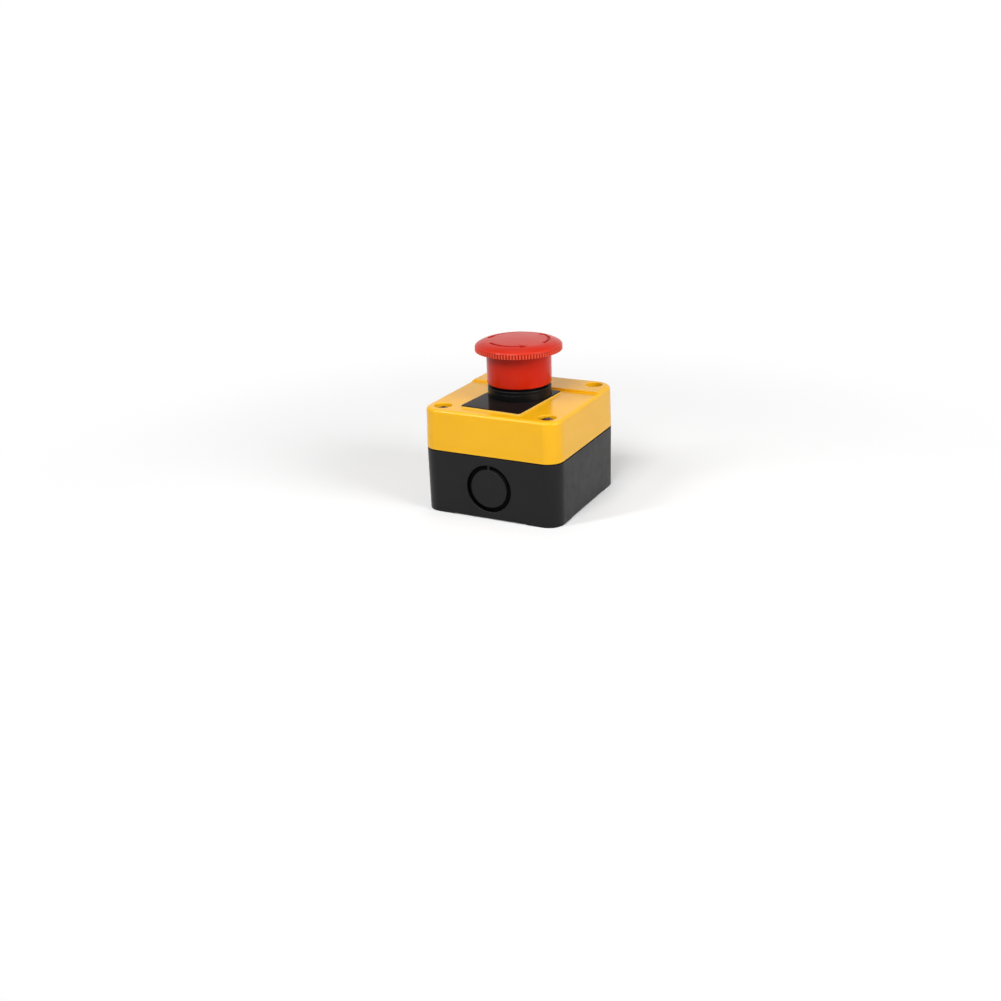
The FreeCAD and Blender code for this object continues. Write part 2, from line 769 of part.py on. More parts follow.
def mushroom_head():
    """Return the red head with its serrated rim, engraved arrows, hub and inner ribs."""
    body = head_shell()
    root = Vector(rim_radius - serration_depth, 0, rim_bottom_z)
    right = Vector(rim_radius + serration_depth, serration_width, rim_bottom_z)
    left = Vector(rim_radius + serration_depth, -serration_width, rim_bottom_z)
    notch = Part.Face(Part.makePolygon([root, left, right, root])).extrude(Vector(0, 0, rim_height))
    body = body.cut(around(notch, serration_count))
    body = body.cut(around(arrow_cutter(), arrow_count))
    hub = rod(hub_radius, plunger_top_z, head_ceiling_z)
    skirt_inner = skirt_radius - skirt_wall
    half_rib = head_rib_width / 2
    rib = box(0, skirt_inner, -half_rib, half_rib, head_ceiling_z - head_rib_height, head_ceiling_z)
    ribs = around(rib, head_rib_count)
    body = body.fuse([hub] + ribs.Solids)
    socket_top = plunger_top_z + spindle_drive_height + spindle_fit
    return body.cut(spindle_drive(spindle_fit, plunger_top_z, socket_top)).removeSplitter()


def spindle_drive(clearance, z0, z1):
    """Return the spindle's upper end with its two flats, grown by a clearance where it is a socket."""
    flat = spindle_drive_flat + clearance
    reach = spindle_drive_radius + clearance
    return rod(reach, z0, z1).common(box(-reach, reach, -flat, flat, z0, z1))


def cam():
    """Return the lobed cam that draws the latch pins in when the head is turned."""
    steps = cam_points_per_lobe * cam_lobe_count
    points = []
    for step in range(steps):
        degrees = 360.0 * step / steps
        radius = cam_radius + cam_lift * math.cos(math.radians(cam_lobe_count * degrees))
        points.append(polar(radius, degrees, cam_bottom_z))
    curve = Part.BSplineCurve()
    curve.interpolate(points, PeriodicFlag=True)
    return Part.Face(Part.Wire([curve.toShape()])).extrude(Vector(0, 0, cam_height))


def release_spindle():
    """Return the spindle that turns with the head and carries the cam and the clip groove."""
    tip_bottom = cam_bottom_z - spindle_tip_length
    journal = rod(spindle_radius, cam_top_z, plunger_top_z)
    tip = rod(spindle_tip_radius, tip_bottom, cam_bottom_z)
    drive = spindle_drive(0, plunger_top_z, plunger_top_z + spindle_drive_height)
    body = journal.fuse([tip, drive, cam()])
    clip_top = shelf_bottom_z - clip_gap
    groove = ring(spindle_tip_radius, clip_groove_radius, clip_top - clip_thickness, clip_top)
    return body.cut(groove).removeSplitter()


def spindle_clip():
    """Return the open ring clip that keeps the spindle in the plunger."""
    clip_top = shelf_bottom_z - clip_gap
    low = clip_top - clip_thickness
    clip = ring(clip_outer_radius, clip_groove_radius, low, clip_top)
    half = clip_mouth / 2
    return clip.cut(box(-half, half, 0, clip_outer_radius, low, clip_top))


def plunger():
    """Return the stepped tube that slides in the barrel without turning."""
    body = rod(plunger_radius, plunger_shoulder_z, plunger_top_z)
    body = body.fuse(rod(stem_radius, pusher_top_z, plunger_shoulder_z))
    rib_half = guide_rib_width / 2
    rib_end = barrel_bore_radius + guide_rib_rise
    rib_top_z = plunger_shoulder_z + guide_rib_height
    body = body.fuse(box(-rib_half, rib_half, stem_radius, rib_end, plunger_shoulder_z, rib_top_z))
    body = body.cut(rod(stem_bore_radius, pusher_top_z, shelf_bottom_z))
    body = body.cut(rod(tip_bore_radius, shelf_bottom_z, shelf_top_z))
    pocket_z = plunger_top_z - twist_spring_pocket_depth
    body = body.cut(rod(spindle_bore_radius, shelf_top_z, pocket_z))
    body = body.cut(rod(twist_spring_pocket_radius, pocket_z, plunger_top_z))
    bore_start = Vector(-plunger_radius, 0, latch_z)
    body = body.cut(Part.makeCylinder(pin_bore_radius, 2 * plunger_radius, bore_start, Vector(1, 0, 0)))
    return body.cut(seal_ring(plunger_radius)).removeSplitter()


def seal_ring(outer_radius):
    """Return the square-section ring in the plunger's upper groove, out to a radius."""
    high = plunger_top_z - seal_ring_depth
    return ring(outer_radius, seal_groove_radius, high - seal_ring_width, high)


def plunger_seal():
    """Return the sealing ring between the plunger and the barrel."""
    return seal_ring(seal_ring_outer)


def pusher_plate():
    """Return the plate under the stem that presses both contact blocks."""
    spigot = rod(stem_bore_radius - spindle_fit, pusher_top_z, pusher_top_z + pusher_spigot_height)
    return rod(pusher_radius, pusher_bottom_z, pusher_top_z).fuse(spigot).removeSplitter()


def latch_pin(side):
    """Return one latch pin with a round inner end that follows the cam."""
    ball_x = pin_inner_end + latch_pin_radius
    centre = Vector(ball_x, 0, latch_z)
    shank = Part.makeCylinder(latch_pin_radius, pin_outer_end - ball_x, centre, Vector(1, 0, 0))
    pin = shank.fuse(Part.makeSphere(latch_pin_radius, centre)).removeSplitter()
    if side < 0:
        pin.rotate(Vector(0, 0, 0), UP, 180)
    return pin


def twist_spring():
    """Return the spring that turns the head back after release."""
    low = plunger_top_z - twist_spring_pocket_depth
    high = plunger_top_z - twist_spring_end_gap
    return coil(twist_spring_radius, twist_spring_wire, twist_spring_turns, low, high)


def return_spring():
    """Return the spring that lifts the plunger, compressed as it is while the button is latched."""
    return coil(return_spring_radius, return_spring_wire, return_spring_turns, cap_top_z, plunger_shoulder_z)


def mounting_carrier():
    """Return the collar on the barrel's lower end that the contact blocks hook on to."""
    lower = Part.Face(outline(carrier_size, carrier_size, carrier_corner_radius, block_top_z))
    lower = lower.extrude(Vector(0, 0, carrier_waist_start))
    waist_low = block_top_z + carrier_waist_start
    upper = Part.Face(outline(2 * waist_half, 2 * waist_half, carrier_corner_radius, waist_low))
    upper = upper.extrude(Vector(0, 0, carrier_top_z - waist_low))
    body = lower.fuse(upper)
    body = body.cut(rod(thread_radius + carrier_fit, block_top_z, carrier_top_z))
    for side in (-1, 1):
        body = body.cut(set_screw_rod(side, set_screw_radius + set_screw_fit))
        for end in (-1, 1):
            body = body.cut(hook_barb_block(side, end, hook_clearance))
    return body.removeSplitter()


def set_screw_rod(side, radius):
    """Return the place of a set screw in the carrier's waist, as a rod along X."""
    start = Vector(side * set_screw_start, 0, set_screw_z)
    return Part.makeCylinder(radius, set_screw_length, start, Vector(side, 0, 0))


def carrier_screws():
    """Return the two slotted set screws that lock the carrier on the barrel."""
    screws = []
    half = set_screw_slot_width / 2
    for side in (-1, 1):
        outer = side * waist_half
        slot = box(outer, outer - side * set_screw_slot_depth, -set_screw_radius, set_screw_radius,
                   set_screw_z - half, set_screw_z + half)
        screws.append(set_screw_rod(side, set_screw_radius).cut(slot))
    return Part.makeCompound(screws)


def hook_barb_block(side, end, clearance):
    """Return the barb of a block's hook, grown by a clearance where it is the carrier's notch."""
    half = hook_width / 2 + clearance
    centre = side * block_centre_x
    face = carrier_size / 2
    high = block_top_z + hook_reach
    low = high - hook_barb_height
    tip_y = end * (face - hook_barb - clearance)
    root_y = end * (face + hook_clearance)
    return box(centre - half, centre + half, tip_y, root_y, low - clearance, high + clearance)


def block_housing(side):
    """Return the housing of one contact block, open on its outer side."""
    inner = side * block_inner_x
    outer = side * block_cover_x
    centre = side * block_centre_x
    body = box(inner, outer, -block_end_y, block_end_y, block_bottom_z, block_top_z)
    wall_x = inner + side * block_wall
    cavity = box(wall_x, outer, -block_cavity_y, block_cavity_y, block_floor_z, block_ceiling_z)
    for end in (-1, 1):
        near_y = end * (shelf_end_y - shelf_length)
        far_y = end * shelf_end_y
        cavity = cavity.cut(box(wall_x, outer, near_y, far_y, block_floor_z, strip_bottom_z))
    cavity = cavity.cut(rod(spring_post_radius, block_floor_z, block_floor_z + spring_post_height, centre))
    body = body.cut(cavity)
    half_x = stub_width / 2 + stub_clearance
    half_y = stub_length / 2 + stub_clearance
    body = body.cut(box(centre - half_x, centre + half_x, -half_y, half_y, block_ceiling_z, block_top_z))
    access_radius = terminal_head_radius + terminal_access_clearance
    near_x = centre - wire_window_width / 2
    far_x = centre + wire_window_width / 2
    window_high = strip_bottom_z - wire_window_gap
    window_low = window_high - wire_window_height
    for end in (-1, 1):
        body = body.cut(rod(access_radius, block_bottom_z, block_floor_z, centre, end * terminal_y))
        window = box(near_x, far_x, end * block_cavity_y, end * block_end_y, window_low, window_high)
        body = body.cut(window)
        body = body.fuse(block_hook(side, end))
    return body.removeSplitter()


def block_hook(side, end):
    """Return the springy hook that reaches up past the carrier's edge."""
    centre = side * block_centre_x
    half = hook_width / 2
    near = carrier_size / 2 + hook_clearance
    far = near + hook_thickness
    high = block_top_z + hook_reach
    low = block_top_z - hook_root
    leg = box(centre - half, centre + half, end * near, end * far, low, high)
    root = box(centre - half, centre + half, end * block_end_y, end * far, low, block_top_z)
    return leg.fuse([root, hook_barb_block(side, end, 0)])


def block_cover(side):
    """Return the side plate that closes a contact block."""
    inner = side * block_cover_x
    outer = inner + side * block_cover_thickness
    return box(inner, outer, -block_end_y, block_end_y, block_bottom_z, block_top_z)


def slider(side):
    """Return the sliding carrier of one block's bridge, with its stub under the pusher plate."""
    centre = side * block_centre_x
    half_x = slider_width / 2
    half_y = slider_length / 2
    body = box(centre - half_x, centre + half_x, -half_y, half_y, strip_bottom_z, slider_top_z)
    stub_x = stub_width / 2
    stub_y = stub_length / 2
    body = body.fuse(box(centre - stub_x, centre + stub_x, -stub_y, stub_y, slider_top_z, pusher_bottom_z))
    window_half = bridge_width / 2 + bridge_clearance
    window = box(centre - window_half, centre + window_half, -half_y, half_y, window_bottom_z, window_top_z)
    return body.cut(window).removeSplitter()


def bridge(side, normally_closed):
    """Return the moving bridge with its two contact buttons, above or below it."""
    centre = side * block_centre_x
    half_x = bridge_width / 2
    low = window_top_z - bridge_thickness if normally_closed else window_bottom_z
    body = box(centre - half_x, centre + half_x, -bridge_end_y, bridge_end_y, low, low + bridge_thickness)
    if normally_closed:
        button_low = low + bridge_thickness
    else:
        button_low = low - moving_button_height
    for end in (-1, 1):
        place = end * contact_y
        body = body.fuse(rod(button_radius, button_low, button_low + moving_button_height, centre, place))
    return body.removeSplitter()


def bridge_spring(side, normally_closed):
    """Return the spring that presses the bridge against its side of the window."""
    low = window_bottom_z if normally_closed else window_bottom_z + bridge_thickness
    high = window_top_z - bridge_thickness if normally_closed else window_top_z
    centre = side * block_centre_x
    return coil(bridge_spring_radius, bridge_spring_wire, bridge_spring_turns, low, high, centre)


def block_spring(side):
    """Return the spring under a slider, compressed as it is while the button is latched."""
    return coil(block_spring_radius, block_spring_wire, block_spring_turns, block_floor_z, strip_bottom_z,
                side * block_centre_x)


def fixed_contacts(side, normally_closed):
    """Return the two fixed contact strips of one block with their buttons and screw holes."""
    centre = side * block_centre_x
    half_x = strip_width / 2
    near_x = centre - half_x
    far_x = centre + half_x
    strips = []
    for end in (-1, 1):
        start = end * (contact_y - strip_overhang)
        wall = end * block_cavity_y
        place = end * contact_y
        strip = box(near_x, far_x, start, wall, strip_bottom_z, strip_top_z)
        if normally_closed:
            upper_z = block_ceiling_z - strip_thickness
            upper = box(near_x, far_x, start, wall, upper_z, block_ceiling_z)
            riser = box(near_x, far_x, wall - end * strip_thickness, wall, strip_bottom_z, block_ceiling_z)
            button = rod(button_radius, upper_z - fixed_button_height, upper_z, centre, place)
            strip = strip.fuse([upper, riser, button])
        else:
            button = rod(button_radius, strip_top_z, strip_top_z + fixed_button_height, centre, place)
            strip = strip.fuse(button)
        hole_radius = terminal_screw_radius + terminal_hole_clearance
        hole = rod(hole_radius, strip_bottom_z, strip_top_z, centre, end * terminal_y)
        strips.append(strip.cut(hole).removeSplitter())
    return Part.makeCompound(strips)


def terminal_screws(side):
    """Return the two terminal screws of one block, reached from below."""
    centre = side * block_centre_x
    head_low = block_bottom_z + terminal_head_depth
    head_high = head_low + terminal_head_height
    half_slot = terminal_slot_width / 2
    screw = rod(terminal_head_radius, head_low, head_high)
    screw = screw.fuse(rod(terminal_screw_radius, head_high, head_high + terminal_screw_length))
    screw = screw.cut(box(-terminal_head_radius, terminal_head_radius, -half_slot, half_slot,
                          head_low, head_low + terminal_slot_depth))
    places = [(centre, end * terminal_y) for end in (-1, 1)]
    return at_places(screw.removeSplitter(), places)


def terminal_clamps(side):
    """Return the two wire clamps of one block, which lie on the screw heads."""
    centre = side * block_centre_x
    low = block_bottom_z + terminal_head_depth + terminal_head_height
    half = clamp_size / 2
    clamp = box(-half, half, -half, half, low, low + clamp_thickness)
    clamp = clamp.cut(rod(terminal_screw_radius + terminal_hole_clearance, low, low + clamp_thickness))
    places = [(centre, end * terminal_y) for end in (-1, 1)]
    return at_places(clamp, places)


def block_pieces(prefix, side, normally_closed):
    """Return the pieces of one contact block by node name."""
    return {
        prefix + "_housing": block_housing(side),
        prefix + "_side_cover": block_cover(side),
        prefix + "_slider": slider(side),
        prefix + "_bridge": bridge(side, normally_closed),
        prefix + "_bridge_spring": bridge_spring(side, normally_closed),
        prefix + "_return_spring": block_spring(side),
        prefix + "_fixed_contacts": fixed_contacts(side, normally_closed),
        prefix + "_terminal_screws": terminal_screws(side),
        prefix + "_terminal_clamps": terminal_clamps(side),
    }


def all_pieces():
    """Return every piece by node name."""
    pieces = {
        "base_box": base_box(),
        "top_cover": top_cover(),
        "cover_seal": cover_seal(),
        "cover_screws": cover_screws(),
        "legend_plate": legend_plate(),
        "bezel_barrel": bezel_barrel(),
        "bezel_gasket": bezel_gasket(),
        "lock_washer": lock_washer(),
        "panel_nut": panel_nut(),
        "barrel_cap": barrel_cap(),
        "mushroom_head": mushroom_head(),
        "release_spindle": release_spindle(),
        "spindle_clip": spindle_clip(),
        "plunger": plunger(),
        "plunger_seal": plunger_seal(),
        "pusher_plate": pusher_plate(),
        "latch_pin_right": latch_pin(1),
        "latch_pin_left": latch_pin(-1),
        "twist_spring": twist_spring(),
        "return_spring": return_spring(),
        "mounting_carrier": mounting_carrier(),
        "carrier_screws": carrier_screws(),
    }
    pieces.update(block_pieces("nc_block", -1, True))
    pieces.update(block_pieces("no_block", 1, False))
    return pieces


os.makedirs("parts", exist_ok=True)
for name, shape in all_pieces().items():
    shape.exportStep("parts/" + name + ".step")
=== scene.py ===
"""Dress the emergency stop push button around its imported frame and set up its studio.

Sizes are in millimetres and angles in degrees, and both are turned into metres and radians where a
mesh is made. The pieces that show are worked out as surfaces. The pieces inside the box keep their
solids and get finishes of their own.
"""
import json
import logging
import math
from dataclasses import dataclass
from enum import Enum
from typing import ClassVar

import bmesh
import bpy
import numpy as np
from mathutils import Matrix, Vector


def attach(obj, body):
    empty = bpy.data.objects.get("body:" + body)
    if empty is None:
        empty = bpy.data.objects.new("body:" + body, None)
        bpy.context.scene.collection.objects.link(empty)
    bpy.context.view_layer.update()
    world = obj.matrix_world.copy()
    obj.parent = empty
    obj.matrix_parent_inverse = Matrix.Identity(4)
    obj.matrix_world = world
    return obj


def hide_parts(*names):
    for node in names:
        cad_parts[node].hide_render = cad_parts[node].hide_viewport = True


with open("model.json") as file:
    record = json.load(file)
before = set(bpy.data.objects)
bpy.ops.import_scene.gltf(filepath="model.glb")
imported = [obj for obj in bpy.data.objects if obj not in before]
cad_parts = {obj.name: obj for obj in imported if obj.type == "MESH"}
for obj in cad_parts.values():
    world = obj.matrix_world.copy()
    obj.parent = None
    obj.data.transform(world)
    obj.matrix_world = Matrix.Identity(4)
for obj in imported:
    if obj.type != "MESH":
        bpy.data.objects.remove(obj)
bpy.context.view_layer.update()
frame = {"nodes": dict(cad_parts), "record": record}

Array = np.ndarray
Object = bpy.types.Object
Socket = bpy.types.NodeSocket
Span = tuple[float, float]
Triple = tuple[float, float, float]
Colour = tuple[float, float, float]
Run = tuple[float, float, int]
Inputs = dict[str | int, Socket | float | tuple[float, ...]]

MM = 0.001
WELD_DISTANCE = 2e-7
SHARP_ANGLE = 38.0
NO_LENGTH = 1e-12
NO_TURN = 1e-9
NO_SINE = 1e-6
SAME_PLACE = 1e-7
CORNER_STEPS = 14
ARC_STEPS = 6
ROUND_STEPS = 48
BLOCK_ROUND = 0.2
BLOCK_STEPS = 3
WHOLE: Span = (0.0, 1.0)

logging.basicConfig(level=logging.INFO, format="%(message)s")
log = logging.getLogger("station")


class Body(Enum):
    """Bodies of the frame that new pieces ride on."""

    STATION = "station"
    HEAD = "head_unit"


class Slot(Enum):
    """Material slots of the record."""

    COVER = "cover_yellow"
    BASE = "base_black"
    HEAD = "head_red"
    PLATE = "plate_black"
    COLLAR = "collar_black"
    SCREW = "screw_steel"
    SPRING = "spring_steel"
    BRASS = "contact_brass"
    RUBBER = "seal_rubber"
    INNER = "inner_grey"
    RED_SLIDER = "slider_red"
    GREEN_SLIDER = "slider_green"


class Solid(Enum):
    """Ways in which one solid works on another."""

    JOIN = "UNION"
    CUT = "DIFFERENCE"


class Mark(Enum):
    """Values that a mesh keeps for its finish."""

    # Painted shade in arrows, notches and screw crosses, kept as the engraving attribute.
    PAINTED_SHADE = "engraving"
    # Painted highlight on the teeth and the rim's upper edge.
    PAINTED_HIGHLIGHT = "rubbing"


class Maths(Enum):
    """Ways in which values are worked together in a finish."""

    ADD = "ADD"
    TIMES = "MULTIPLY"
    LARGER = "MAXIMUM"
    SIZE = "ABSOLUTE"
    NEAR = "COMPARE"


class Wall(Enum):
    """Walls with a cable knockout, by their side along Y."""

    FRONT = -1.0
    BACK = 1.0


class Ease(Enum):
    """Ways in which a value passes from one end of a range to the other."""

    EVEN = "LINEAR"
    SMOOTH = "SMOOTHSTEP"


# Flat paths and surfaces


def unit(vectors: Array) -> Array:
    """Return rows scaled to length one, with zero rows left as they are."""
    length = np.linalg.norm(vectors, axis=1, keepdims=True)
    return vectors / np.where(length > NO_LENGTH, length, 1)


def rounded_path(corners: Array, radii: Array, steps: int = ARC_STEPS) -> Array:
    """Round the inner corners of an open flat polyline.

    Each corner gives way to an arc that touches both its sides. The arc's centre lies on the
    corner's bisector, at the radius over the sine of half the corner's angle, and the arc turns
    from its first touching point to its last at an even pace.

    Args:
        corners: Points of the polyline, one row each.
        radii: One radius for each corner between the two ends; zero keeps it sharp.
        steps: Points on each arc.

    Returns:
        The points of the rounded path, with repeated points left out.
    """
    middle = corners[1:-1]
    back = unit(corners[:-2] - middle)
    ahead = unit(corners[2:] - middle)
    half = np.arccos(np.clip((back * ahead).sum(axis=1), -1, 1)) / 2
    reach = (radii / np.tan(half))[:, None]
    centres = middle + unit(back + ahead) * (radii / np.sin(half))[:, None]
    first = (middle + back * reach - centres)[:, None, :]
    last = (middle + ahead * reach - centres)[:, None, :]
    sweep = (math.pi - 2 * half)[:, None, None]
    share = np.linspace(0, 1, steps)[None, :, None]
    scale = np.where(np.sin(sweep) > NO_TURN, np.sin(sweep), 1)
    arcs = (np.sin((1 - share) * sweep) * first + np.sin(share * sweep) * last) / scale
    arcs = (arcs + centres[:, None, :]).reshape(-1, 2)
    path = np.concatenate([corners[:1], arcs, corners[-1:]])
    moved = np.linalg.norm(np.diff(path, axis=0), axis=1) > SAME_PLACE
    return path[np.concatenate([[True], moved])]


def bowed(start: Span, end: Span, bow: float, share: Array) -> Array:
    """Carry a profile from one point to another on a shallow parabola.

    The straight line between the points is pushed out at right angles by four times the bow times
    the share times the rest of the share.

    Args:
        start: First (radius, height) point.
        end: Last (radius, height) point.
        bow: Height of the bulge at the middle.
        share: Places along the line, from nought to one.

    Returns:
        The (radius, height) points.
    """
    chord = np.subtract(end, start)
    outwards = np.array([-chord[1], chord[0]]) / np.hypot(*chord)
    along = np.asarray(share)[:, None]
    return np.asarray(start) + along * chord + 4 * bow * along * (1 - along) * outwards


def smooth(value: Array) -> Array:
    """Return a value eased between nought and one: three times its square less twice its cube."""
    clipped = np.clip(value, 0, 1)
    return clipped * clipped * (3 - 2 * clipped)


def off_centre(degrees: Array, count: int) -> Array:
    """Return each angle's distance from the nearest of some places spread evenly over the turn."""
    pitch = 360 / count
    return np.abs(np.mod(degrees + pitch / 2, pitch) - pitch / 2)


def circle(count: int) -> Array:
    """Return evenly spaced angles round a full turn."""
    return np.linspace(0, 2 * math.pi, count, endpoint=False)


def turned(profile: Array, angles: Array) -> Array:
    """Turn a profile of (radius, height) rows about the Z axis.

    A point is the radius times the cosine and the sine of the angle, at the row's height.

    Args:
        profile: One row for each ring.
        angles: Angles in radians.

    Returns:
        Points by ring and by angle.
    """
    radius = profile[:, :1]
    height = np.broadcast_to(profile[:, 1:2], (len(profile), len(angles)))
    return np.stack([radius * np.cos(angles), radius * np.sin(angles), height], axis=2)


@dataclass(frozen=True)
class Outline:
    """A rounded rectangle as anchors and directions.

    A point of the outline moved inwards by an inset is its anchor plus its direction times the
    corner radius less the inset.

    Attributes:
        anchors: Centre of the corner that a point belongs to, or its place beside a straight side.
        directions: Unit vector outwards.
        radius: Corner radius without inset.
    """

    anchors: Array
    directions: Array
    radius: float

    @classmethod
    def rectangle(cls, width: float, depth: float, radius: float, steps: int = CORNER_STEPS,
                  side_places: Array | None = None) -> "Outline":
        """Make the outline, anticlockwise from the right end of the back right corner.

        Args:
            width: Size along X.
            depth: Size along Y.
            radius: Corner radius.
            steps: Points on each corner.
            side_places: Ascending Y places of extra points on the left and right sides.

        Returns:
            The outline.
        """
        turn = np.linspace(0, math.pi / 2, steps)
        angles = (np.arange(4)[:, None] * math.pi / 2 + turn).ravel()
        signs = np.repeat([(1, 1), (-1, 1), (-1, -1), (1, -1)], steps, axis=0)
        anchors = signs * (width / 2 - radius, depth / 2 - radius)
        directions = np.stack([np.cos(angles), np.sin(angles)], axis=1)
        if side_places is not None:
            side_x = np.full(len(side_places), width / 2 - radius)
            left = np.stack([-side_x, side_places[::-1]], axis=1)
            right = np.stack([side_x, side_places], axis=1)
            outwards = np.tile((1.0, 0.0), (len(side_places), 1))
            half = 2 * steps
            anchors = np.concatenate([anchors[:half], left, anchors[half:], right])
            directions = np.concatenate(
                [directions[:half], -outwards, directions[half:], outwards])
        return cls(anchors, directions, radius)

    def carry(self, profile: Array) -> Array:
        """Carry a profile of (inset, height) rows round the outline.

        Args:
            profile: One row for each ring of points.

        Returns:
            Points by ring and by place on the outline.
        """
        reach = (self.radius - profile[:, 0])[:, None, None]
        flat = self.anchors[None] + self.directions[None] * reach
        height = np.broadcast_to(profile[:, 1][:, None, None], flat.shape[:2] + (1,))
        return np.concatenate([flat, height], axis=2)


# Meshes


def grid_faces(rows: int, columns: int, wrap_rows: bool = False) -> list[list[int]]:
    """Return the quads of a grid whose columns close on themselves.

    Args:
        rows: Rings of points.
        columns: Points in each ring.
        wrap_rows: Whether the last ring joins the first.

    Returns:
        Four indices for each quad.
    """
    index = np.arange(rows * columns).reshape(rows, columns)
    low = index if wrap_rows else index[:-1]
    high = np.roll(index, -1, axis=0) if wrap_rows else index[1:]
    quads = [low, np.roll(low, -1, axis=1), np.roll(high, -1, axis=1), high]
    return np.stack(quads, axis=2).reshape(-1, 4).tolist()


def keep_mark(mesh: bpy.types.Mesh, mark: Mark, values: Array) -> None:
    """Keep a value for each point of a mesh."""
    layer = mesh.attributes.new(mark.value, "FLOAT", "POINT")
    layer.data.foreach_set("value", np.ascontiguousarray(values, dtype=np.float32).ravel())


def make_object(name: str, points: Array, faces: list[list[int]],
                marks: dict[Mark, Array] | None = None) -> Object:
    """Make a piece from points and faces, with seams and poles welded.

    Args:
        name: Name of the piece.
        points: Places in millimetres; any shape that ends in three columns.
        faces: Vertex indices of each face.
        marks: Values for each point that the mesh keeps.

    Returns:
        The object, at the origin.
    """
    mesh = bpy.data.meshes.new(name)
    mesh.from_pydata((points.reshape(-1, 3) * MM).tolist(), [], faces)
    for mark, values in (marks or {}).items():
        keep_mark(mesh, mark, values)
    work = bmesh.new()
    work.from_mesh(mesh)
    bmesh.ops.remove_doubles(work, verts=work.verts, dist=WELD_DISTANCE)
    bmesh.ops.recalc_face_normals(work, faces=work.faces)
    work.to_mesh(mesh)
    work.free()
    made = bpy.data.objects.new(name, mesh)
    bpy.context.scene.collection.objects.link(made)
    return made


def closed_tube(name: str, rings: Array) -> Object:
    """Make a tube of rings with a flat face on its first and last ring.

    Args:
        name: Name of the piece.
        rings: Points by ring and by place on the ring.

    Returns:
        The tube.
    """
    rows, columns = rings.shape[:2]
    ends = [list(range(columns)), list(range((rows - 1) * columns, rows * columns))]
    return make_object(name, rings, grid_faces(rows, columns) + ends)


def closed_ring(name: str, rings: Array) -> Object:
    """Make a ring whose last row of points joins its first."""
    return make_object(name, rings, grid_faces(*rings.shape[:2], wrap_rows=True))


def closed_turn(name: str, rings: Array, marks: dict[Mark, Array] | None = None) -> Object:
    """Make a turned piece whose first and last rings shrink to points on its axis."""
    return make_object(name, rings, grid_faces(*rings.shape[:2]), marks)


def place(target: Object, x: float, y: float) -> Object:
    """Shift a piece's mesh by millimetres, with the object left at the origin."""
    target.data.transform(Matrix.Translation(Vector((x, y, 0.0)) * MM))
    return target


def upright(name: str, radius: float, levels: Span, spot: Span = (0.0, 0.0),
            steps: int = ROUND_STEPS) -> Object:
    """Make an upright pin as a tool: one radius turned about its axis between two levels.

    Args:
        name: Name of the tool.
        radius: Radius of the pin.
        levels: Lower and upper level.
        spot: Place of its axis along X and Y.
        steps: Points round it.

    Returns:
        The tool.
    """
    profile = np.array([(radius, level) for level in levels])
    return place(closed_tube(name, turned(profile, circle(steps))), *spot)


def block(name: str, size: Span, levels: Span, radius: float = BLOCK_ROUND,
          steps: int = BLOCK_STEPS) -> Object:
    """Make an upright block as a tool: a straight wall carried round a rounded rectangle.

    Args:
        name: Name of the tool.
        size: Size along X and Y.
        levels: Lower and upper level.
        radius: Radius of its upright edges.
        steps: Points on each of these edges.

    Returns:
        The tool.
    """
    wall = np.array([(0.0, level) for level in levels])
    return closed_tube(name, Outline.rectangle(*size, radius, steps).carry(wall))


def bake_modifiers(target: Object) -> None:
    """Turn a piece's modifiers into its mesh.

    Args:
        target: Piece whose mesh is replaced.
    """
    bpy.context.view_layer.update()
    shown = target.evaluated_get(bpy.context.evaluated_depsgraph_get())
    mesh = bpy.data.meshes.new_from_object(shown)
    old = target.data
    target.modifiers.clear()
    target.data = mesh
    bpy.data.meshes.remove(old)
    mesh.name = target.name


def work_on(target: Object, way: Solid, tools: list[Object]) -> None:
    """Join solids to a piece or cut them out of it, and remove them afterwards.

    Args:
        target: Piece that is changed.
        way: What the tools do to it.
        tools: Solids that are used up.
    """
    for tool in tools:
        step = target.modifiers.new(tool.name, "BOOLEAN")
        step.object = tool
        step.operation = way.value
        step.solver = "EXACT"
    bake_modifiers(target)
    for tool in tools:
        mesh = tool.data
        bpy.data.objects.remove(tool)
        bpy.data.meshes.remove(mesh)


def soften(target: Object, even: bool = True) -> Object:
    """Shade a piece smoothly between its sharp edges.

    Args:
        target: Piece that is shaded.
        even: Whether large flat faces keep their own direction up to their edges.

    Returns:
        The same piece.
    """
    target.data.shade_smooth()
    target.data.set_sharp_from_angle(angle=math.radians(SHARP_ANGLE))
    if even:
        weights = target.modifiers.new("even_faces", "WEIGHTED_NORMAL")
        weights.mode = "FACE_AREA"
        weights.keep_sharp = True
        bake_modifiers(target)
    return target


# Finishes


@dataclass(frozen=True)
class ShadedRecess:
    """A ring groove about an axis along Y, painted dark as shade and made less shiny, told from the
    rest of a piece by its place.

    Attributes:
        level: Height of the axis.
        inner: Inner radius.
        outer: Outer radius.
        face: Distance from the middle of the piece within which a place lies in the groove.
        passage: Distance over which the groove's painted shade comes in.
    """

    level: float
    inner: float
    outer: float
    face: float
    passage: float = 0.2


@dataclass(frozen=True)
class Pattern:
    """A pattern of noise.

    Attributes:
        size: Size of its patches.
        detail: Octaves of finer noise.
        span: Noise between which a patch comes in.
        stretch: Factor on each axis by which the patches are narrowed, where they are.
    """

    size: float
    detail: float
    span: Span = WHOLE
    stretch: Triple | None = None


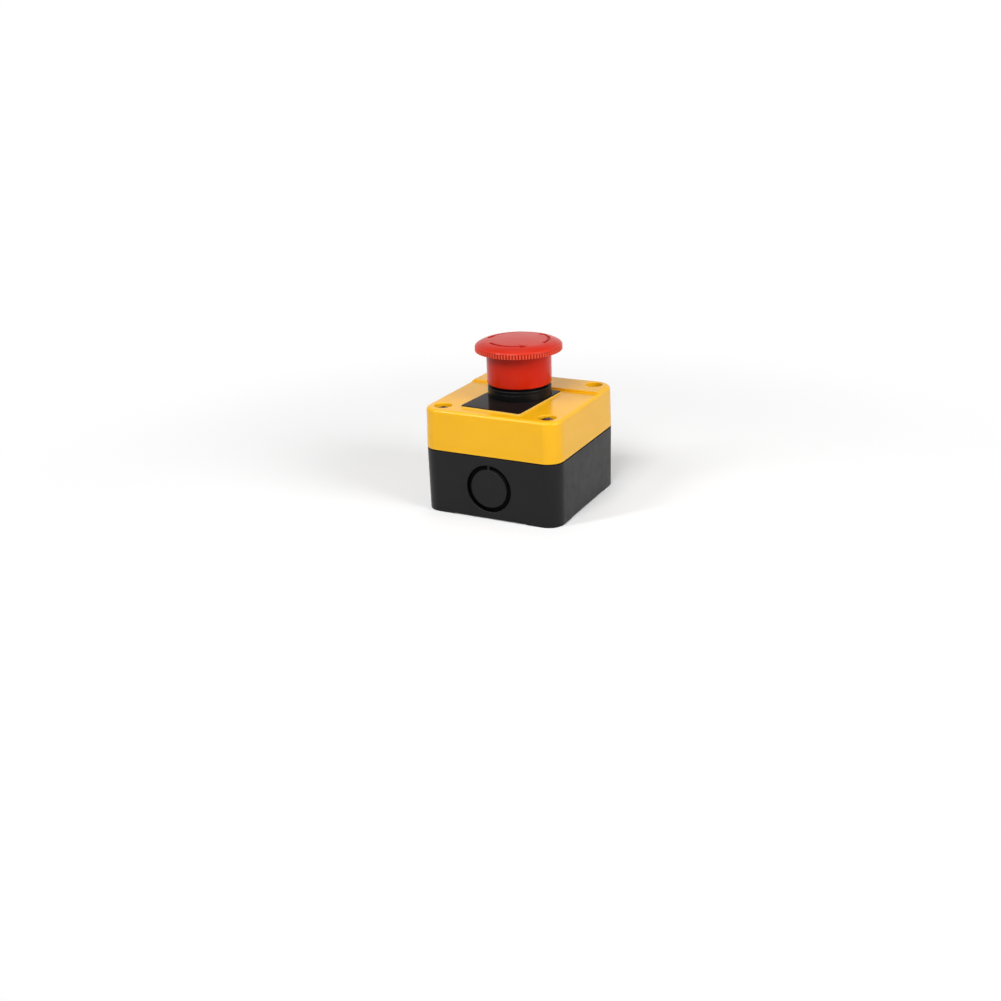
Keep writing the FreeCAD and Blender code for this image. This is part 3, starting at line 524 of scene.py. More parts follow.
class Graph:
    """A tree of shader nodes, with short calls to add and join them."""

    # Numbers of the sockets for colours on a mixing node
    FIRST_COLOUR: ClassVar[int] = 6
    SECOND_COLOUR: ClassVar[int] = 7
    MIXED_COLOUR: ClassVar[int] = 2

    def __init__(self, owner: bpy.types.Material | bpy.types.World) -> None:
        """Start an empty tree.

        Args:
            owner: Material or world that the tree belongs to.
        """
        owner.use_nodes = True
        self.tree = owner.node_tree
        self.tree.nodes.clear()

    def attach(self, node: bpy.types.Node, inputs: Inputs) -> None:
        """Join sockets to a node's inputs and set constants on them.

        Args:
            node: Node with these inputs.
            inputs: Socket or constant for each input, by name or number.
        """
        for name, value in inputs.items():
            if isinstance(value, Socket):
                self.tree.links.new(value, node.inputs[name])
            else:
                node.inputs[name].default_value = value

    def node(self, kind: str, inputs: Inputs | None = None, **options: str) -> bpy.types.Node:
        """Add a node.

        Args:
            kind: Kind of node, without the word that all kinds start with.
            inputs: Socket or constant for each input, by name or number.
            options: Settings of the node itself.

        Returns:
            The node.
        """
        added = self.tree.nodes.new("ShaderNode" + kind)
        for name, value in options.items():
            setattr(added, name, value)
        self.attach(added, inputs or {})
        return added

    def maths(self, way: Maths, *values: Socket | float) -> Socket:
        """Return values worked together."""
        return self.node("Math", dict(enumerate(values)), operation=way.value).outputs["Value"]

    def plus(self, value: Socket, extra: Socket, share: float) -> Socket:
        """Return a value with a share of another one added to it."""
        return self.maths(Maths.ADD, value, self.maths(Maths.TIMES, extra, share))

    def ranged(self, value: Socket, span: Span, to: Span = WHOLE, ease: Ease = Ease.EVEN) -> Socket:
        """Return a value carried from one range to another and held inside it.

        Args:
            value: Value that is carried.
            span: Ends of its range.
            to: What these ends become.
            ease: How it passes from one end to the other.

        Returns:
            The new value.
        """
        inputs = {"Value": value, "From Min": span[0], "From Max": span[1],
                  "To Min": to[0], "To Max": to[1]}
        return self.node("MapRange", inputs, interpolation_type=ease.value).outputs["Result"]

    def length(self, vector: Socket) -> Socket:
        """Return the length of a vector."""
        return self.node("VectorMath", {0: vector}, operation="LENGTH").outputs["Value"]

    def blend(self, share: Socket, first: Socket | Colour, second: Colour) -> Socket:
        """Return a colour between two others.

        Args:
            share: Share of the second colour.
            first: Colour at nought, as a socket or a constant.
            second: Colour at one.

        Returns:
            The blended colour.
        """
        start = first if isinstance(first, Socket) else (*first, 1.0)
        inputs = {"Factor": share, self.FIRST_COLOUR: start, self.SECOND_COLOUR: (*second, 1.0)}
        return self.node("Mix", inputs, data_type="RGBA").outputs[self.MIXED_COLOUR]

    def mix(self, share: Socket, first: Socket, second: Socket) -> Socket:
        """Return a shader between two others, by the share of the second."""
        return self.node("MixShader", {"Fac": share, 1: first, 2: second}).outputs["Shader"]

    def seen(self) -> Socket:
        """Tell rays that show a place from rays that only carry its light.

        Returns:
            One for rays of the camera, of mirrors and of glass, and nought for other rays.
        """
        rays = self.node("LightPath").outputs
        shown = self.maths(Maths.LARGER, rays["Is Camera Ray"], rays["Is Glossy Ray"])
        return self.maths(Maths.LARGER, shown, rays["Is Transmission Ray"])


class Coat(Graph):
    """The nodes of a piece's finish: one shader, fed from the piece's own coordinates."""

    def __init__(self, name: str) -> None:
        """Start a material.

        Args:
            name: Name of the material.
        """
        self.material = bpy.data.materials.new(name)
        super().__init__(self.material)
        self.shader = self.node("BsdfPrincipled")
        self.node("OutputMaterial", {"Surface": self.shader.outputs["BSDF"]})
        self.coordinates = self.node("TexCoord").outputs["Object"]

    def feed(self, name: str, value: Socket | float) -> None:
        """Join a socket to an input of the shader, or set a constant there."""
        self.attach(self.shader, {name: value})

    def axis(self, name: str) -> Socket:
        """Return one of the coordinates, in metres."""
        return self.node("SeparateXYZ", {"Vector": self.coordinates}).outputs[name]

    def stretched(self, scale: Triple, shift: Triple = (0.0, 0.0, 0.0)) -> Socket:
        """Return the coordinates times a factor on each axis, and then shifted."""
        inputs = {"Vector": self.coordinates, "Location": shift, "Scale": scale}
        return self.node("Mapping", inputs).outputs["Vector"]

    def noise(self, pattern: Pattern) -> Socket:
        """Lay out a pattern of noise on the coordinates.

        Args:
            pattern: Size, detail and stretch of the noise.

        Returns:
            The noise, around one half.
        """
        source = self.stretched(pattern.stretch) if pattern.stretch else self.coordinates
        inputs = {"Vector": source, "Scale": 1 / (pattern.size * MM), "Detail": pattern.detail}
        return self.node("TexNoise", inputs).outputs["Fac"]

    def patches(self, pattern: Pattern, to: Span = WHOLE) -> Socket:
        """Return a pattern of noise carried from its span to another range."""
        return self.ranged(self.noise(pattern), pattern.span, to)

    def mark(self, mark: Mark) -> Socket:
        """Return a value that the mesh keeps for each point."""
        return self.node("Attribute", attribute_name=mark.value).outputs["Fac"]

    def in_shaded_recess(self, shaded_recess: ShadedRecess) -> Socket:
        """Tell the places in a ring groove from the others, for the groove's painted shade.

        Args:
            shaded_recess: Sizes of the groove.

        Returns:
            One inside and nought outside: the product of a test of the distance from the groove's
            axis and a test of the depth.
        """
        flat = self.stretched((1.0, 0.0, 1.0), (0.0, 0.0, -shaded_recess.level * MM))
        middle = (shaded_recess.inner + shaded_recess.outer) / 2 * MM
        half = (shaded_recess.outer - shaded_recess.inner) / 2 * MM
        ring = self.maths(Maths.NEAR, self.length(flat), middle, half)
        span = ((shaded_recess.face - shaded_recess.passage) * MM, shaded_recess.face * MM)
        deep = self.ranged(self.maths(Maths.SIZE, self.axis("Y")), span, (1.0, 0.0))
        return self.maths(Maths.TIMES, ring, deep)

    def relief(self, height: Socket, depth: float, base: Socket | None = None) -> Socket:
        """Return a normal roughened by a height.

        Args:
            height: Height from nought to one.
            depth: Depth of the relief in millimetres.
            base: Normal that is roughened; the surface's own if left out.

        Returns:
            The normal.
        """
        inputs = {"Height": height, "Distance": depth * MM}
        if base is not None:
            inputs["Normal"] = base
        return self.node("Bump", inputs).outputs["Normal"]


class Finish:
    """A finish, painted on a coat of its own."""

    def paint(self, coat: Coat) -> None:
        """Feed the coat's shader."""
        raise NotImplementedError

    def material(self, name: str) -> bpy.types.Material:
        """Make the finish.

        Args:
            name: Name of the material.

        Returns:
            The material.
        """
        coat = Coat(name)
        self.paint(coat)
        return coat.material


@dataclass(frozen=True)
class MouldedPlastic(Finish):
    """Moulded plastic: slow drifts of colour, a fine spark-eroded grain and faint rub marks.

    Attributes:
        colour: Main colour.
        drift: Colour that it drifts towards.
        worn: Colour of the streaks of wear.
        smoothest: Lowest roughness.
        roughest: Highest roughness.
        shine: Specular level.
        grain: Pattern of the grain.
        grain_depth: Depth of the grain.
        recess_shade: Painted shade colour in cut-in lines and notches, where the piece has any.
        tip_highlight: Painted highlight colour on the teeth between notches, where the piece has
            any.
        shaded_recess: Ring groove painted dark as shade and made less shiny, where the piece has
            one.
        groove: Painted shade colour of that groove.
        matt_shine: Specular level of cut-in lines, notches and the groove.
        drifts: Pattern of the drifts of colour.
        clouds: Pattern of the gloss.
        streaks: Pattern of the streaks of wear.
        streak_share: Share of the worn colour in a streak.
        streak_gloss: Roughness of a streak for each share of the worn colour.
        waves: Pattern of the faint waves of the surface.
        wave_depth: Depth of these waves.
    """

    colour: Colour
    drift: Colour
    worn: Colour
    smoothest: float = 0.3
    roughest: float = 0.42
    shine: float = 0.5
    grain: Pattern = Pattern(0.5, 2.0)
    grain_depth: float = 0.0015
    recess_shade: Colour | None = None
    tip_highlight: Colour | None = None
    shaded_recess: ShadedRecess | None = None
    # Painted shade colour for the ring groove
    groove: Colour = (0.002, 0.002, 0.002)
    matt_shine: float = 0.02
    drifts: Pattern = Pattern(17.0, 3.0, (0.35, 0.65))
    clouds: Pattern = Pattern(4.5, 4.0, (0.32, 0.68))
    streaks: Pattern = Pattern(5.0, 5.0, (0.62, 0.8), (1.0, 0.28, 3.2))
    streak_share: float = 0.15
    streak_gloss: float = 0.12
    waves: Pattern = Pattern(11.0, 1.0)
    wave_depth: float = 0.006

    def with_painted_shade(self, coat: Coat, share: Socket, colour: Socket, shade_colour: Colour) -> Socket:
        """Return a colour blended by a share towards a painted shade colour, and lower the shine by
        the same share.
        """
        coat.feed("Specular IOR Level", coat.ranged(share, WHOLE, (self.shine, self.matt_shine)))
        return coat.blend(share, colour, shade_colour)

    def paint(self, coat: Coat) -> None:
        """Feed the coat's shader.

        The colour passes to the drift's by slow noise and to the worn one in streaks, then to a
        painted shade in marked cuts and the ring groove, and to a painted highlight on marked teeth
        and edges. The roughness follows clouds of noise and grows in the streaks, and the grain
        lies on top of long waves.

        Args:
            coat: Coat that is painted.
        """
        wear_and_highlight = coat.patches(self.streaks, (0.0, self.streak_share))
        colour = coat.blend(coat.patches(self.drifts), self.colour, self.drift)
        colour = coat.blend(wear_and_highlight, colour, self.worn)
        coat.feed("Specular IOR Level", self.shine)
        # Painted shade in marked cut-in lines and notches, with less shine.
        if self.recess_shade is not None:
            colour = self.with_painted_shade(coat, coat.mark(Mark.PAINTED_SHADE), colour, self.recess_shade)
        # Painted highlight on the teeth and the rim's upper edge, where marked.
        if self.tip_highlight is not None:
            colour = coat.blend(coat.mark(Mark.PAINTED_HIGHLIGHT), colour, self.tip_highlight)
        # The ring groove is painted dark as shade, with its shine lowered.
        if self.shaded_recess is not None:
            colour = self.with_painted_shade(coat, coat.in_shaded_recess(self.shaded_recess), colour, self.groove)
        coat.feed("Base Color", colour)
        gloss = coat.patches(self.clouds, (self.smoothest, self.roughest))
        coat.feed("Roughness", coat.plus(gloss, wear_and_highlight, self.streak_gloss))
        waves = coat.relief(coat.noise(self.waves), self.wave_depth)
        coat.feed("Normal", coat.relief(coat.noise(self.grain), self.grain_depth, waves))


@dataclass(frozen=True)
class PolishedSheet(Finish):
    """Polished two-layer sheet: a dark skin with dust and hairline scratches over a bright core.

    Attributes:
        colour: Colour of the skin.
        haze: Colour of the dust and the scratches.
        core: Colour of the core, which shows at the sheet's edge.
        skin_level: Level above which the skin lies.
        skin_passage: Height over which the core passes into the skin.
        core_gloss: Roughness that the core adds.
        shine: Specular level.
        smoothest: Lowest roughness.
        roughest: Highest roughness.
        clouds: Pattern of the gloss.
        dust: Pattern of the dust.
        dust_share: Share of the haze in a speck.
        hairs: Pattern of the scratches.
        hair_share: Share of the haze in a scratch.
        haze_gloss: Roughness of dust and scratches for each share of the haze.
        waves: Pattern of the faint waves of the surface.
        wave_depth: Depth of these waves.
    """

    colour: Colour
    haze: Colour
    core: Colour
    skin_level: float
    skin_passage: float = 0.02
    core_gloss: float = 0.3
    shine: float = 0.042
    smoothest: float = 0.08
    roughest: float = 0.2
    clouds: Pattern = Pattern(8.0, 4.0, (0.35, 0.7))
    dust: Pattern = Pattern(0.5, 3.0, (0.7, 0.78))
    dust_share: float = 0.5
    hairs: Pattern = Pattern(1.2, 4.0, (0.62, 0.7), (0.05, 1.6, 1.0))
    hair_share: float = 0.3
    haze_gloss: float = 0.35
    waves: Pattern = Pattern(6.0, 2.0)
    wave_depth: float = 0.02

    def paint(self, coat: Coat) -> None:
        """Feed the coat's shader.

        The skin's colour passes to the haze by the larger share of dust and scratches, and to the
        core's below the skin. The roughness follows clouds of noise and grows with the haze and in
        the core.

        Args:
            coat: Coat that is painted.
        """
        dust = coat.patches(self.dust, (0.0, self.dust_share))
        hairs = coat.patches(self.hairs, (0.0, self.hair_share))
        haze = coat.maths(Maths.LARGER, dust, hairs)
        level = self.skin_level * MM
        below = coat.ranged(coat.axis("Z"), (level - self.skin_passage * MM, level), (1.0, 0.0))
        skin = coat.blend(haze, self.colour, self.haze)
        coat.feed("Base Color", coat.blend(below, skin, self.core))
        gloss = coat.patches(self.clouds, (self.smoothest, self.roughest))
        gloss = coat.plus(gloss, haze, self.haze_gloss)
        coat.feed("Roughness", coat.plus(gloss, below, self.core_gloss))
        coat.feed("Normal", coat.relief(coat.noise(self.waves), self.wave_depth))
        coat.feed("Specular IOR Level", self.shine)


@dataclass(frozen=True)
class PlatedMetal(Finish):
    """Plated or drawn metal: fine tool lines, clouded plating and a few dull stains.

    Attributes:
        colour: Main colour.
        stain: Colour of the dull stains.
        smoothest: Lowest roughness.
        roughest: Highest roughness.
        recess_shade: Painted shade colour in recesses, where the piece has any.
        stains: Pattern of the stains.
        stain_share: Share of the stain's colour in it.
        stain_gloss: Roughness of a stain for each share of its colour.
        lines: Pattern of the tool lines.
        line_depth: Depth of the tool lines.
    """

    colour: Colour
    stain: Colour
    smoothest: float = 0.22
    roughest: float = 0.42
    recess_shade: Colour | None = None
    stains: Pattern = Pattern(2.2, 4.0, (0.5, 0.72))
    stain_share: float = 0.7
    stain_gloss: float = 0.15
    lines: Pattern = Pattern(0.3, 3.0, (0.3, 0.7), (1.0, 1.0, 6.0))
    line_depth: float = 0.008

    def paint(self, coat: Coat) -> None:
        """Feed the coat's shader.

        The colour passes to the stain's by clouds of noise, and to a painted shade in marked
        places. The roughness and the relief follow the tool lines, and stains are rougher.

        Args:
            coat: Coat that is painted.
        """
        stained = coat.patches(self.stains, (0.0, self.stain_share))
        colour = coat.blend(stained, self.colour, self.stain)
        # Painted shade in the marked cross.
        if self.recess_shade is not None:
            colour = coat.blend(coat.mark(Mark.PAINTED_SHADE), colour, self.recess_shade)
        coat.feed("Base Color", colour)
        lines = coat.noise(self.lines)
        gloss = coat.ranged(lines, self.lines.span, (self.smoothest, self.roughest))
        coat.feed("Roughness", coat.plus(gloss, stained, self.stain_gloss))
        coat.feed("Normal", coat.relief(lines, self.line_depth))
        coat.feed("Metallic", 1.0)


@dataclass(frozen=True)
class Rubber(Finish):
    """Matt sealing rubber with a pale bloom and a coarse grain.

    Attributes:
        colour: Main colour.
        bloom: Colour of the bloom.
        clouds: Pattern of the bloom.
        bloom_share: Share of the bloom's colour in it.
        gloss_span: Noise of that pattern between which the gloss changes.
        smoothest: Lowest roughness.
        roughest: Highest roughness.
        grain: Pattern of the grain.
        grain_depth: Depth of the grain.
        shine: Specular level.
    """

    colour: Colour
    bloom: Colour
    clouds: Pattern = Pattern(3.0, 4.0, (0.45, 0.75))
    bloom_share: float = 0.6
    gloss_span: Span = (0.3, 0.7)
    smoothest: float = 0.65
    roughest: float = 0.85
    grain: Pattern = Pattern(0.25, 3.0)
    grain_depth: float = 0.02
    shine: float = 0.3

    def paint(self, coat: Coat) -> None:
        """Feed the coat's shader: the bloom's colour and the roughness follow the same clouds.

        Args:
            coat: Coat that is painted.
        """
        clouds = coat.noise(self.clouds)
        bloom = coat.ranged(clouds, self.clouds.span, (0.0, self.bloom_share))
        coat.feed("Base Color", coat.blend(bloom, self.colour, self.bloom))
        gloss = coat.ranged(clouds, self.gloss_span, (self.smoothest, self.roughest))
        coat.feed("Roughness", gloss)
        coat.feed("Normal", coat.relief(coat.noise(self.grain), self.grain_depth))
        coat.feed("Specular IOR Level", self.shine)


FINISHES: dict[Slot, Finish] = {
    Slot.COVER: MouldedPlastic(
        (0.9, 0.47, 0.006), (0.88, 0.45, 0.006), (0.92, 0.52, 0.03),
        smoothest=0.2, roughest=0.25, shine=0.3),
    Slot.BASE: MouldedPlastic(
        (0.0094, 0.0094, 0.0098), (0.0108, 0.0108, 0.0112), (0.019, 0.019, 0.02),
        smoothest=0.3, roughest=0.4, shine=0.165,
        # The knockout grooves are painted dark as shade.
        shaded_recess=ShadedRecess(level=14.7, inner=9.15, outer=11.2, face=33.5)),
    # Painted shade in the arrows and notches; painted highlight on the teeth and the rim's upper
    # edge.
    Slot.HEAD: MouldedPlastic(
        (0.575, 0.0165, 0.002), (0.55, 0.0155, 0.002), (0.62, 0.04, 0.02),
        smoothest=0.2, roughest=0.27, shine=0.14, grain=Pattern(0.3, 2.0), grain_depth=0.0008,
        recess_shade=(0.42, 0.01, 0.004), tip_highlight=(0.77, 0.086, 0.046)),
    Slot.PLATE: PolishedSheet(
        (0.0145, 0.0092, 0.0084), (0.05, 0.05, 0.06), (0.76, 0.55, 0.12), skin_level=49.65),
    Slot.COLLAR: MouldedPlastic(
        (0.0045, 0.0045, 0.0048), (0.0055, 0.0055, 0.006), (0.012, 0.012, 0.013),
        smoothest=0.24, roughest=0.34, shine=0.1),
    # Painted shade in the screw crosses.
    Slot.SCREW: PlatedMetal(
        (0.115, 0.07, 0.055), (0.04, 0.025, 0.02), recess_shade=(0.015, 0.008, 0.006)),
    Slot.SPRING: PlatedMetal(
        (0.56, 0.56, 0.57), (0.33, 0.33, 0.34), lines=Pattern(0.3, 3.0, (0.3, 0.7))),
    Slot.BRASS: PlatedMetal(
        (0.74, 0.52, 0.2), (0.45, 0.29, 0.12),
        lines=Pattern(0.3, 3.0, (0.3, 0.7), (5.0, 1.0, 1.0))),
    Slot.RUBBER: Rubber((0.016, 0.016, 0.016), (0.06, 0.06, 0.06)),
    Slot.INNER: MouldedPlastic((0.3, 0.3, 0.31), (0.26, 0.26, 0.27), (0.4, 0.4, 0.4)),
    Slot.RED_SLIDER: MouldedPlastic((0.46, 0.03, 0.022), (0.4, 0.026, 0.02), (0.55, 0.1, 0.08)),
    Slot.GREEN_SLIDER: MouldedPlastic((0.035, 0.3, 0.07), (0.03, 0.26, 0.06), (0.1, 0.38, 0.14)),
}


class Palette:
    """Materials made once for each slot of the record."""

    def __init__(self) -> None:
        """Make every finish."""
        self.materials = {slot: finish.material(slot.value) for slot, finish in FINISHES.items()}

    def dress(self, piece: Object, slot: Slot) -> None:
        """Give a piece the finish of a slot in place of any other."""
        piece.data.materials.clear()
        piece.data.materials.append(self.materials[slot])


# Sub-assemblies


class SubAssembly:
    """A sub-assembly that is built as one piece and stands for one node of the frame.

    Attributes:
        node: Node that it stands for.
        slot: Slot of its finish.
        body: Body that it moves with.
    """

    node: ClassVar[str]
    slot: ClassVar[Slot]
    body: ClassVar[Body] = Body.STATION

    def build(self) -> Object:
        """Make the piece, at the origin and not yet dressed."""
        raise NotImplementedError

    def dress(self, piece: Object, palette: Palette) -> None:
        """Dress the piece, let it ride on its body and put it in the place of its node.

        Args:
            piece: The finished piece.
            palette: Materials by slot.
        """
        palette.dress(piece, self.slot)
        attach(piece, self.body.value)
        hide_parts(self.node)
        log.info("%s: %d faces", piece.name, len(piece.data.polygons))


@dataclass
class BoxSizes:
    """Sizes that the base and the cover share."""

    width: float = 68.0
    depth: float = 68.0
    corner_radius: float = 7.7
    seam: float = 30.0
    screw_pitch: float = 52.0
    post_radius: float = 5.6

    def corners(self) -> list[Span]:
        """Return the four places of the corner screws."""
        half = self.screw_pitch / 2
        return [(x, y) for x in (-half, half) for y in (-half, half)]

    def pins(self, name: str, radius: float, low: float, high: float) -> list[Object]:
        """Make one upright pin at each place of the corner screws, as tools."""
        return [upright(f"{name}_{number}", radius, (low, high), spot)
                for number, spot in enumerate(self.corners())]


@dataclass
class BaseBox(SubAssembly):
    """The black base: a drafted wall on feet, with posts, fixing slots and two cable knockouts.

    The ends of its section are insets from the box's side, and the tab's slope is the half angle of
    the tab over that of each slope beside it.
    """

    node: ClassVar[str] = "base_box"
    slot: ClassVar[Slot] = Slot.BASE
    box: BoxSizes
    draft: float = 0.2
    wall: float = 2.5
    floor: float = 3.0
    floor_end: float = 5.0
    bottom_round: float = 0.4
    bottom_end: float = 1.6
    inner_round: float = 0.5
    shadow_gap: float = 0.5
    groove_start: float = 0.9
    groove_end: float = 2.1
    groove_bottom: float = 28.4
    lip_round: float = 0.12
    foot_length: float = 15.5
    foot_height: float = 0.5
    pilot_radius: float = 1.6
    pilot_bottom: float = 13.0
    fixing_pitch: float = 48.0
    slot_length: float = 8.0
    slot_width: float = 5.0
    boss_rim: float = 2.1
    boss_top: float = 4.0
    knockout_level: float = 14.7
    knockout_outer: float = 11.1
    knockout_inner: float = 8.9
    knockout_depth: float = 1.4
    knockout_edge: float = 0.15
    knockout_steps: int = 96
    tab_width: float = 1.2
    tab_depth: float = 0.5
    tab_slope: float = 6.0
    overlap: float = 1.0

    def lean(self, level: float) -> float:
        """Return how far the wall has come in at a level below the seam."""
        return (self.box.seam - level) * math.tan(math.radians(self.draft))

    def shell(self) -> Object:
        """Make the open box: a section of wall, rim and groove carried round a rounded rectangle.

        Returns:
            The box, closed by its bottom outside and by its floor inside.
        """
        seam = self.box.seam
        gap = seam - self.shadow_gap
        corners = np.array([
            (self.bottom_end, 0.0), (self.lean(0.0), 0.0),
            (self.lean(gap), gap), (self.shadow_gap, gap), (self.shadow_gap, seam),
            (self.groove_start, seam), (self.groove_start, self.groove_bottom),
            (self.groove_end, self.groove_bottom), (self.groove_end, seam), (self.wall, seam),
            (self.wall + self.lean(self.floor), self.floor), (self.floor_end, self.floor),
        ])
        lip = self.lip_round
        radii = np.array([self.bottom_round, lip, 0, 0, 0, 0, 0, 0, lip, self.inner_round])
        outline = Outline.rectangle(self.box.width, self.box.depth, self.box.corner_radius)
        return closed_tube("base_shell", outline.carry(rounded_path(corners, radii)))

    def reliefs(self) -> list[Object]:
        """Make the two flat blocks that clear the bottom between the feet.

        Returns:
            The tools, one along each axis.
        """
        width, depth = self.box.width, self.box.depth
        levels = (-self.overlap, self.foot_height)
        sizes = {"relief_across": (2 * width, depth - 2 * self.foot_length),
                 "relief_along": (width - 2 * self.foot_length, 2 * depth)}
        return [block(name, size, levels, self.foot_height / 2) for name, size in sizes.items()]

    def slots(self, name: str, grow: float, levels: Span) -> list[Object]:
        """Make blocks with round ends, long in X, at the places of the two fixing slots.

        Args:
            name: First part of the tools' names.
            grow: How far a block reaches beyond the slot all round.
            levels: Lower and upper level.

        Returns:
            The tools.
        """
        length, width = self.slot_length + 2 * grow, self.slot_width + 2 * grow
        sides = (-self.fixing_pitch / 2, self.fixing_pitch / 2)
        return [place(block(f"{name}_{number}", (length, width), levels, width / 2, CORNER_STEPS),
                      side, 0.0) for number, side in enumerate(sides)]

    def knockout(self, wall: Wall) -> Object:
        """Make a ring groove for a wall.

        A groove section with a flared mouth is turned about the wall's direction, and its floor
        comes up to the tab's depth within the tab's width.

        Args:
            wall: Wall that it is cut into.

        Returns:
            The tool.
        """
        half_tab = math.asin(self.tab_width / (self.knockout_inner + self.knockout_outer))
        start = half_tab + half_tab / self.tab_slope
        tab = np.array([-half_tab, half_tab])
        plain = np.linspace(start, 2 * math.pi - start, self.knockout_steps)
        angles = np.concatenate([tab, plain])
        floor = np.repeat([self.tab_depth, self.knockout_depth], [len(tab), len(plain)])
        edge = self.knockout_edge
        section = np.array([
            (self.knockout_inner - edge, -self.overlap), (self.knockout_inner - edge, 0.0),
            (self.knockout_inner, edge), (self.knockout_inner, self.knockout_depth),
            (self.knockout_outer, self.knockout_depth), (self.knockout_outer, edge),
            (self.knockout_outer + edge, 0.0), (self.knockout_outer + edge, -self.overlap),
        ])
        radius = section[:, :1]
        depth = np.minimum(section[:, 1:2], floor)
        face = self.box.depth / 2 - self.lean(self.knockout_level)
        rings = np.stack([radius * np.sin(angles), wall.value * (face - depth),
                          self.knockout_level + radius * np.cos(angles)], axis=2)
        return closed_ring(f"knockout_{wall.name}", rings)

    def build(self) -> Object:
        """Make the base and cut what is open in it.

        Returns:
            The base.
        """
        base = self.shell()
        low = self.floor - self.overlap
        posts = self.box.pins("post", self.box.post_radius, low, self.box.seam)
        bosses = self.slots("boss", self.boss_rim, (low, self.boss_top))
        work_on(base, Solid.JOIN, posts + bosses)
        above = self.box.seam + self.overlap
        pilots = self.box.pins("pilot", self.pilot_radius, self.pilot_bottom, above)
        slots = self.slots("slot", 0.0, (-self.overlap, self.boss_top + self.overlap))
        knockouts = [self.knockout(wall) for wall in Wall]
        work_on(base, Solid.CUT, pilots + slots + knockouts + self.reliefs())
        return soften(base)


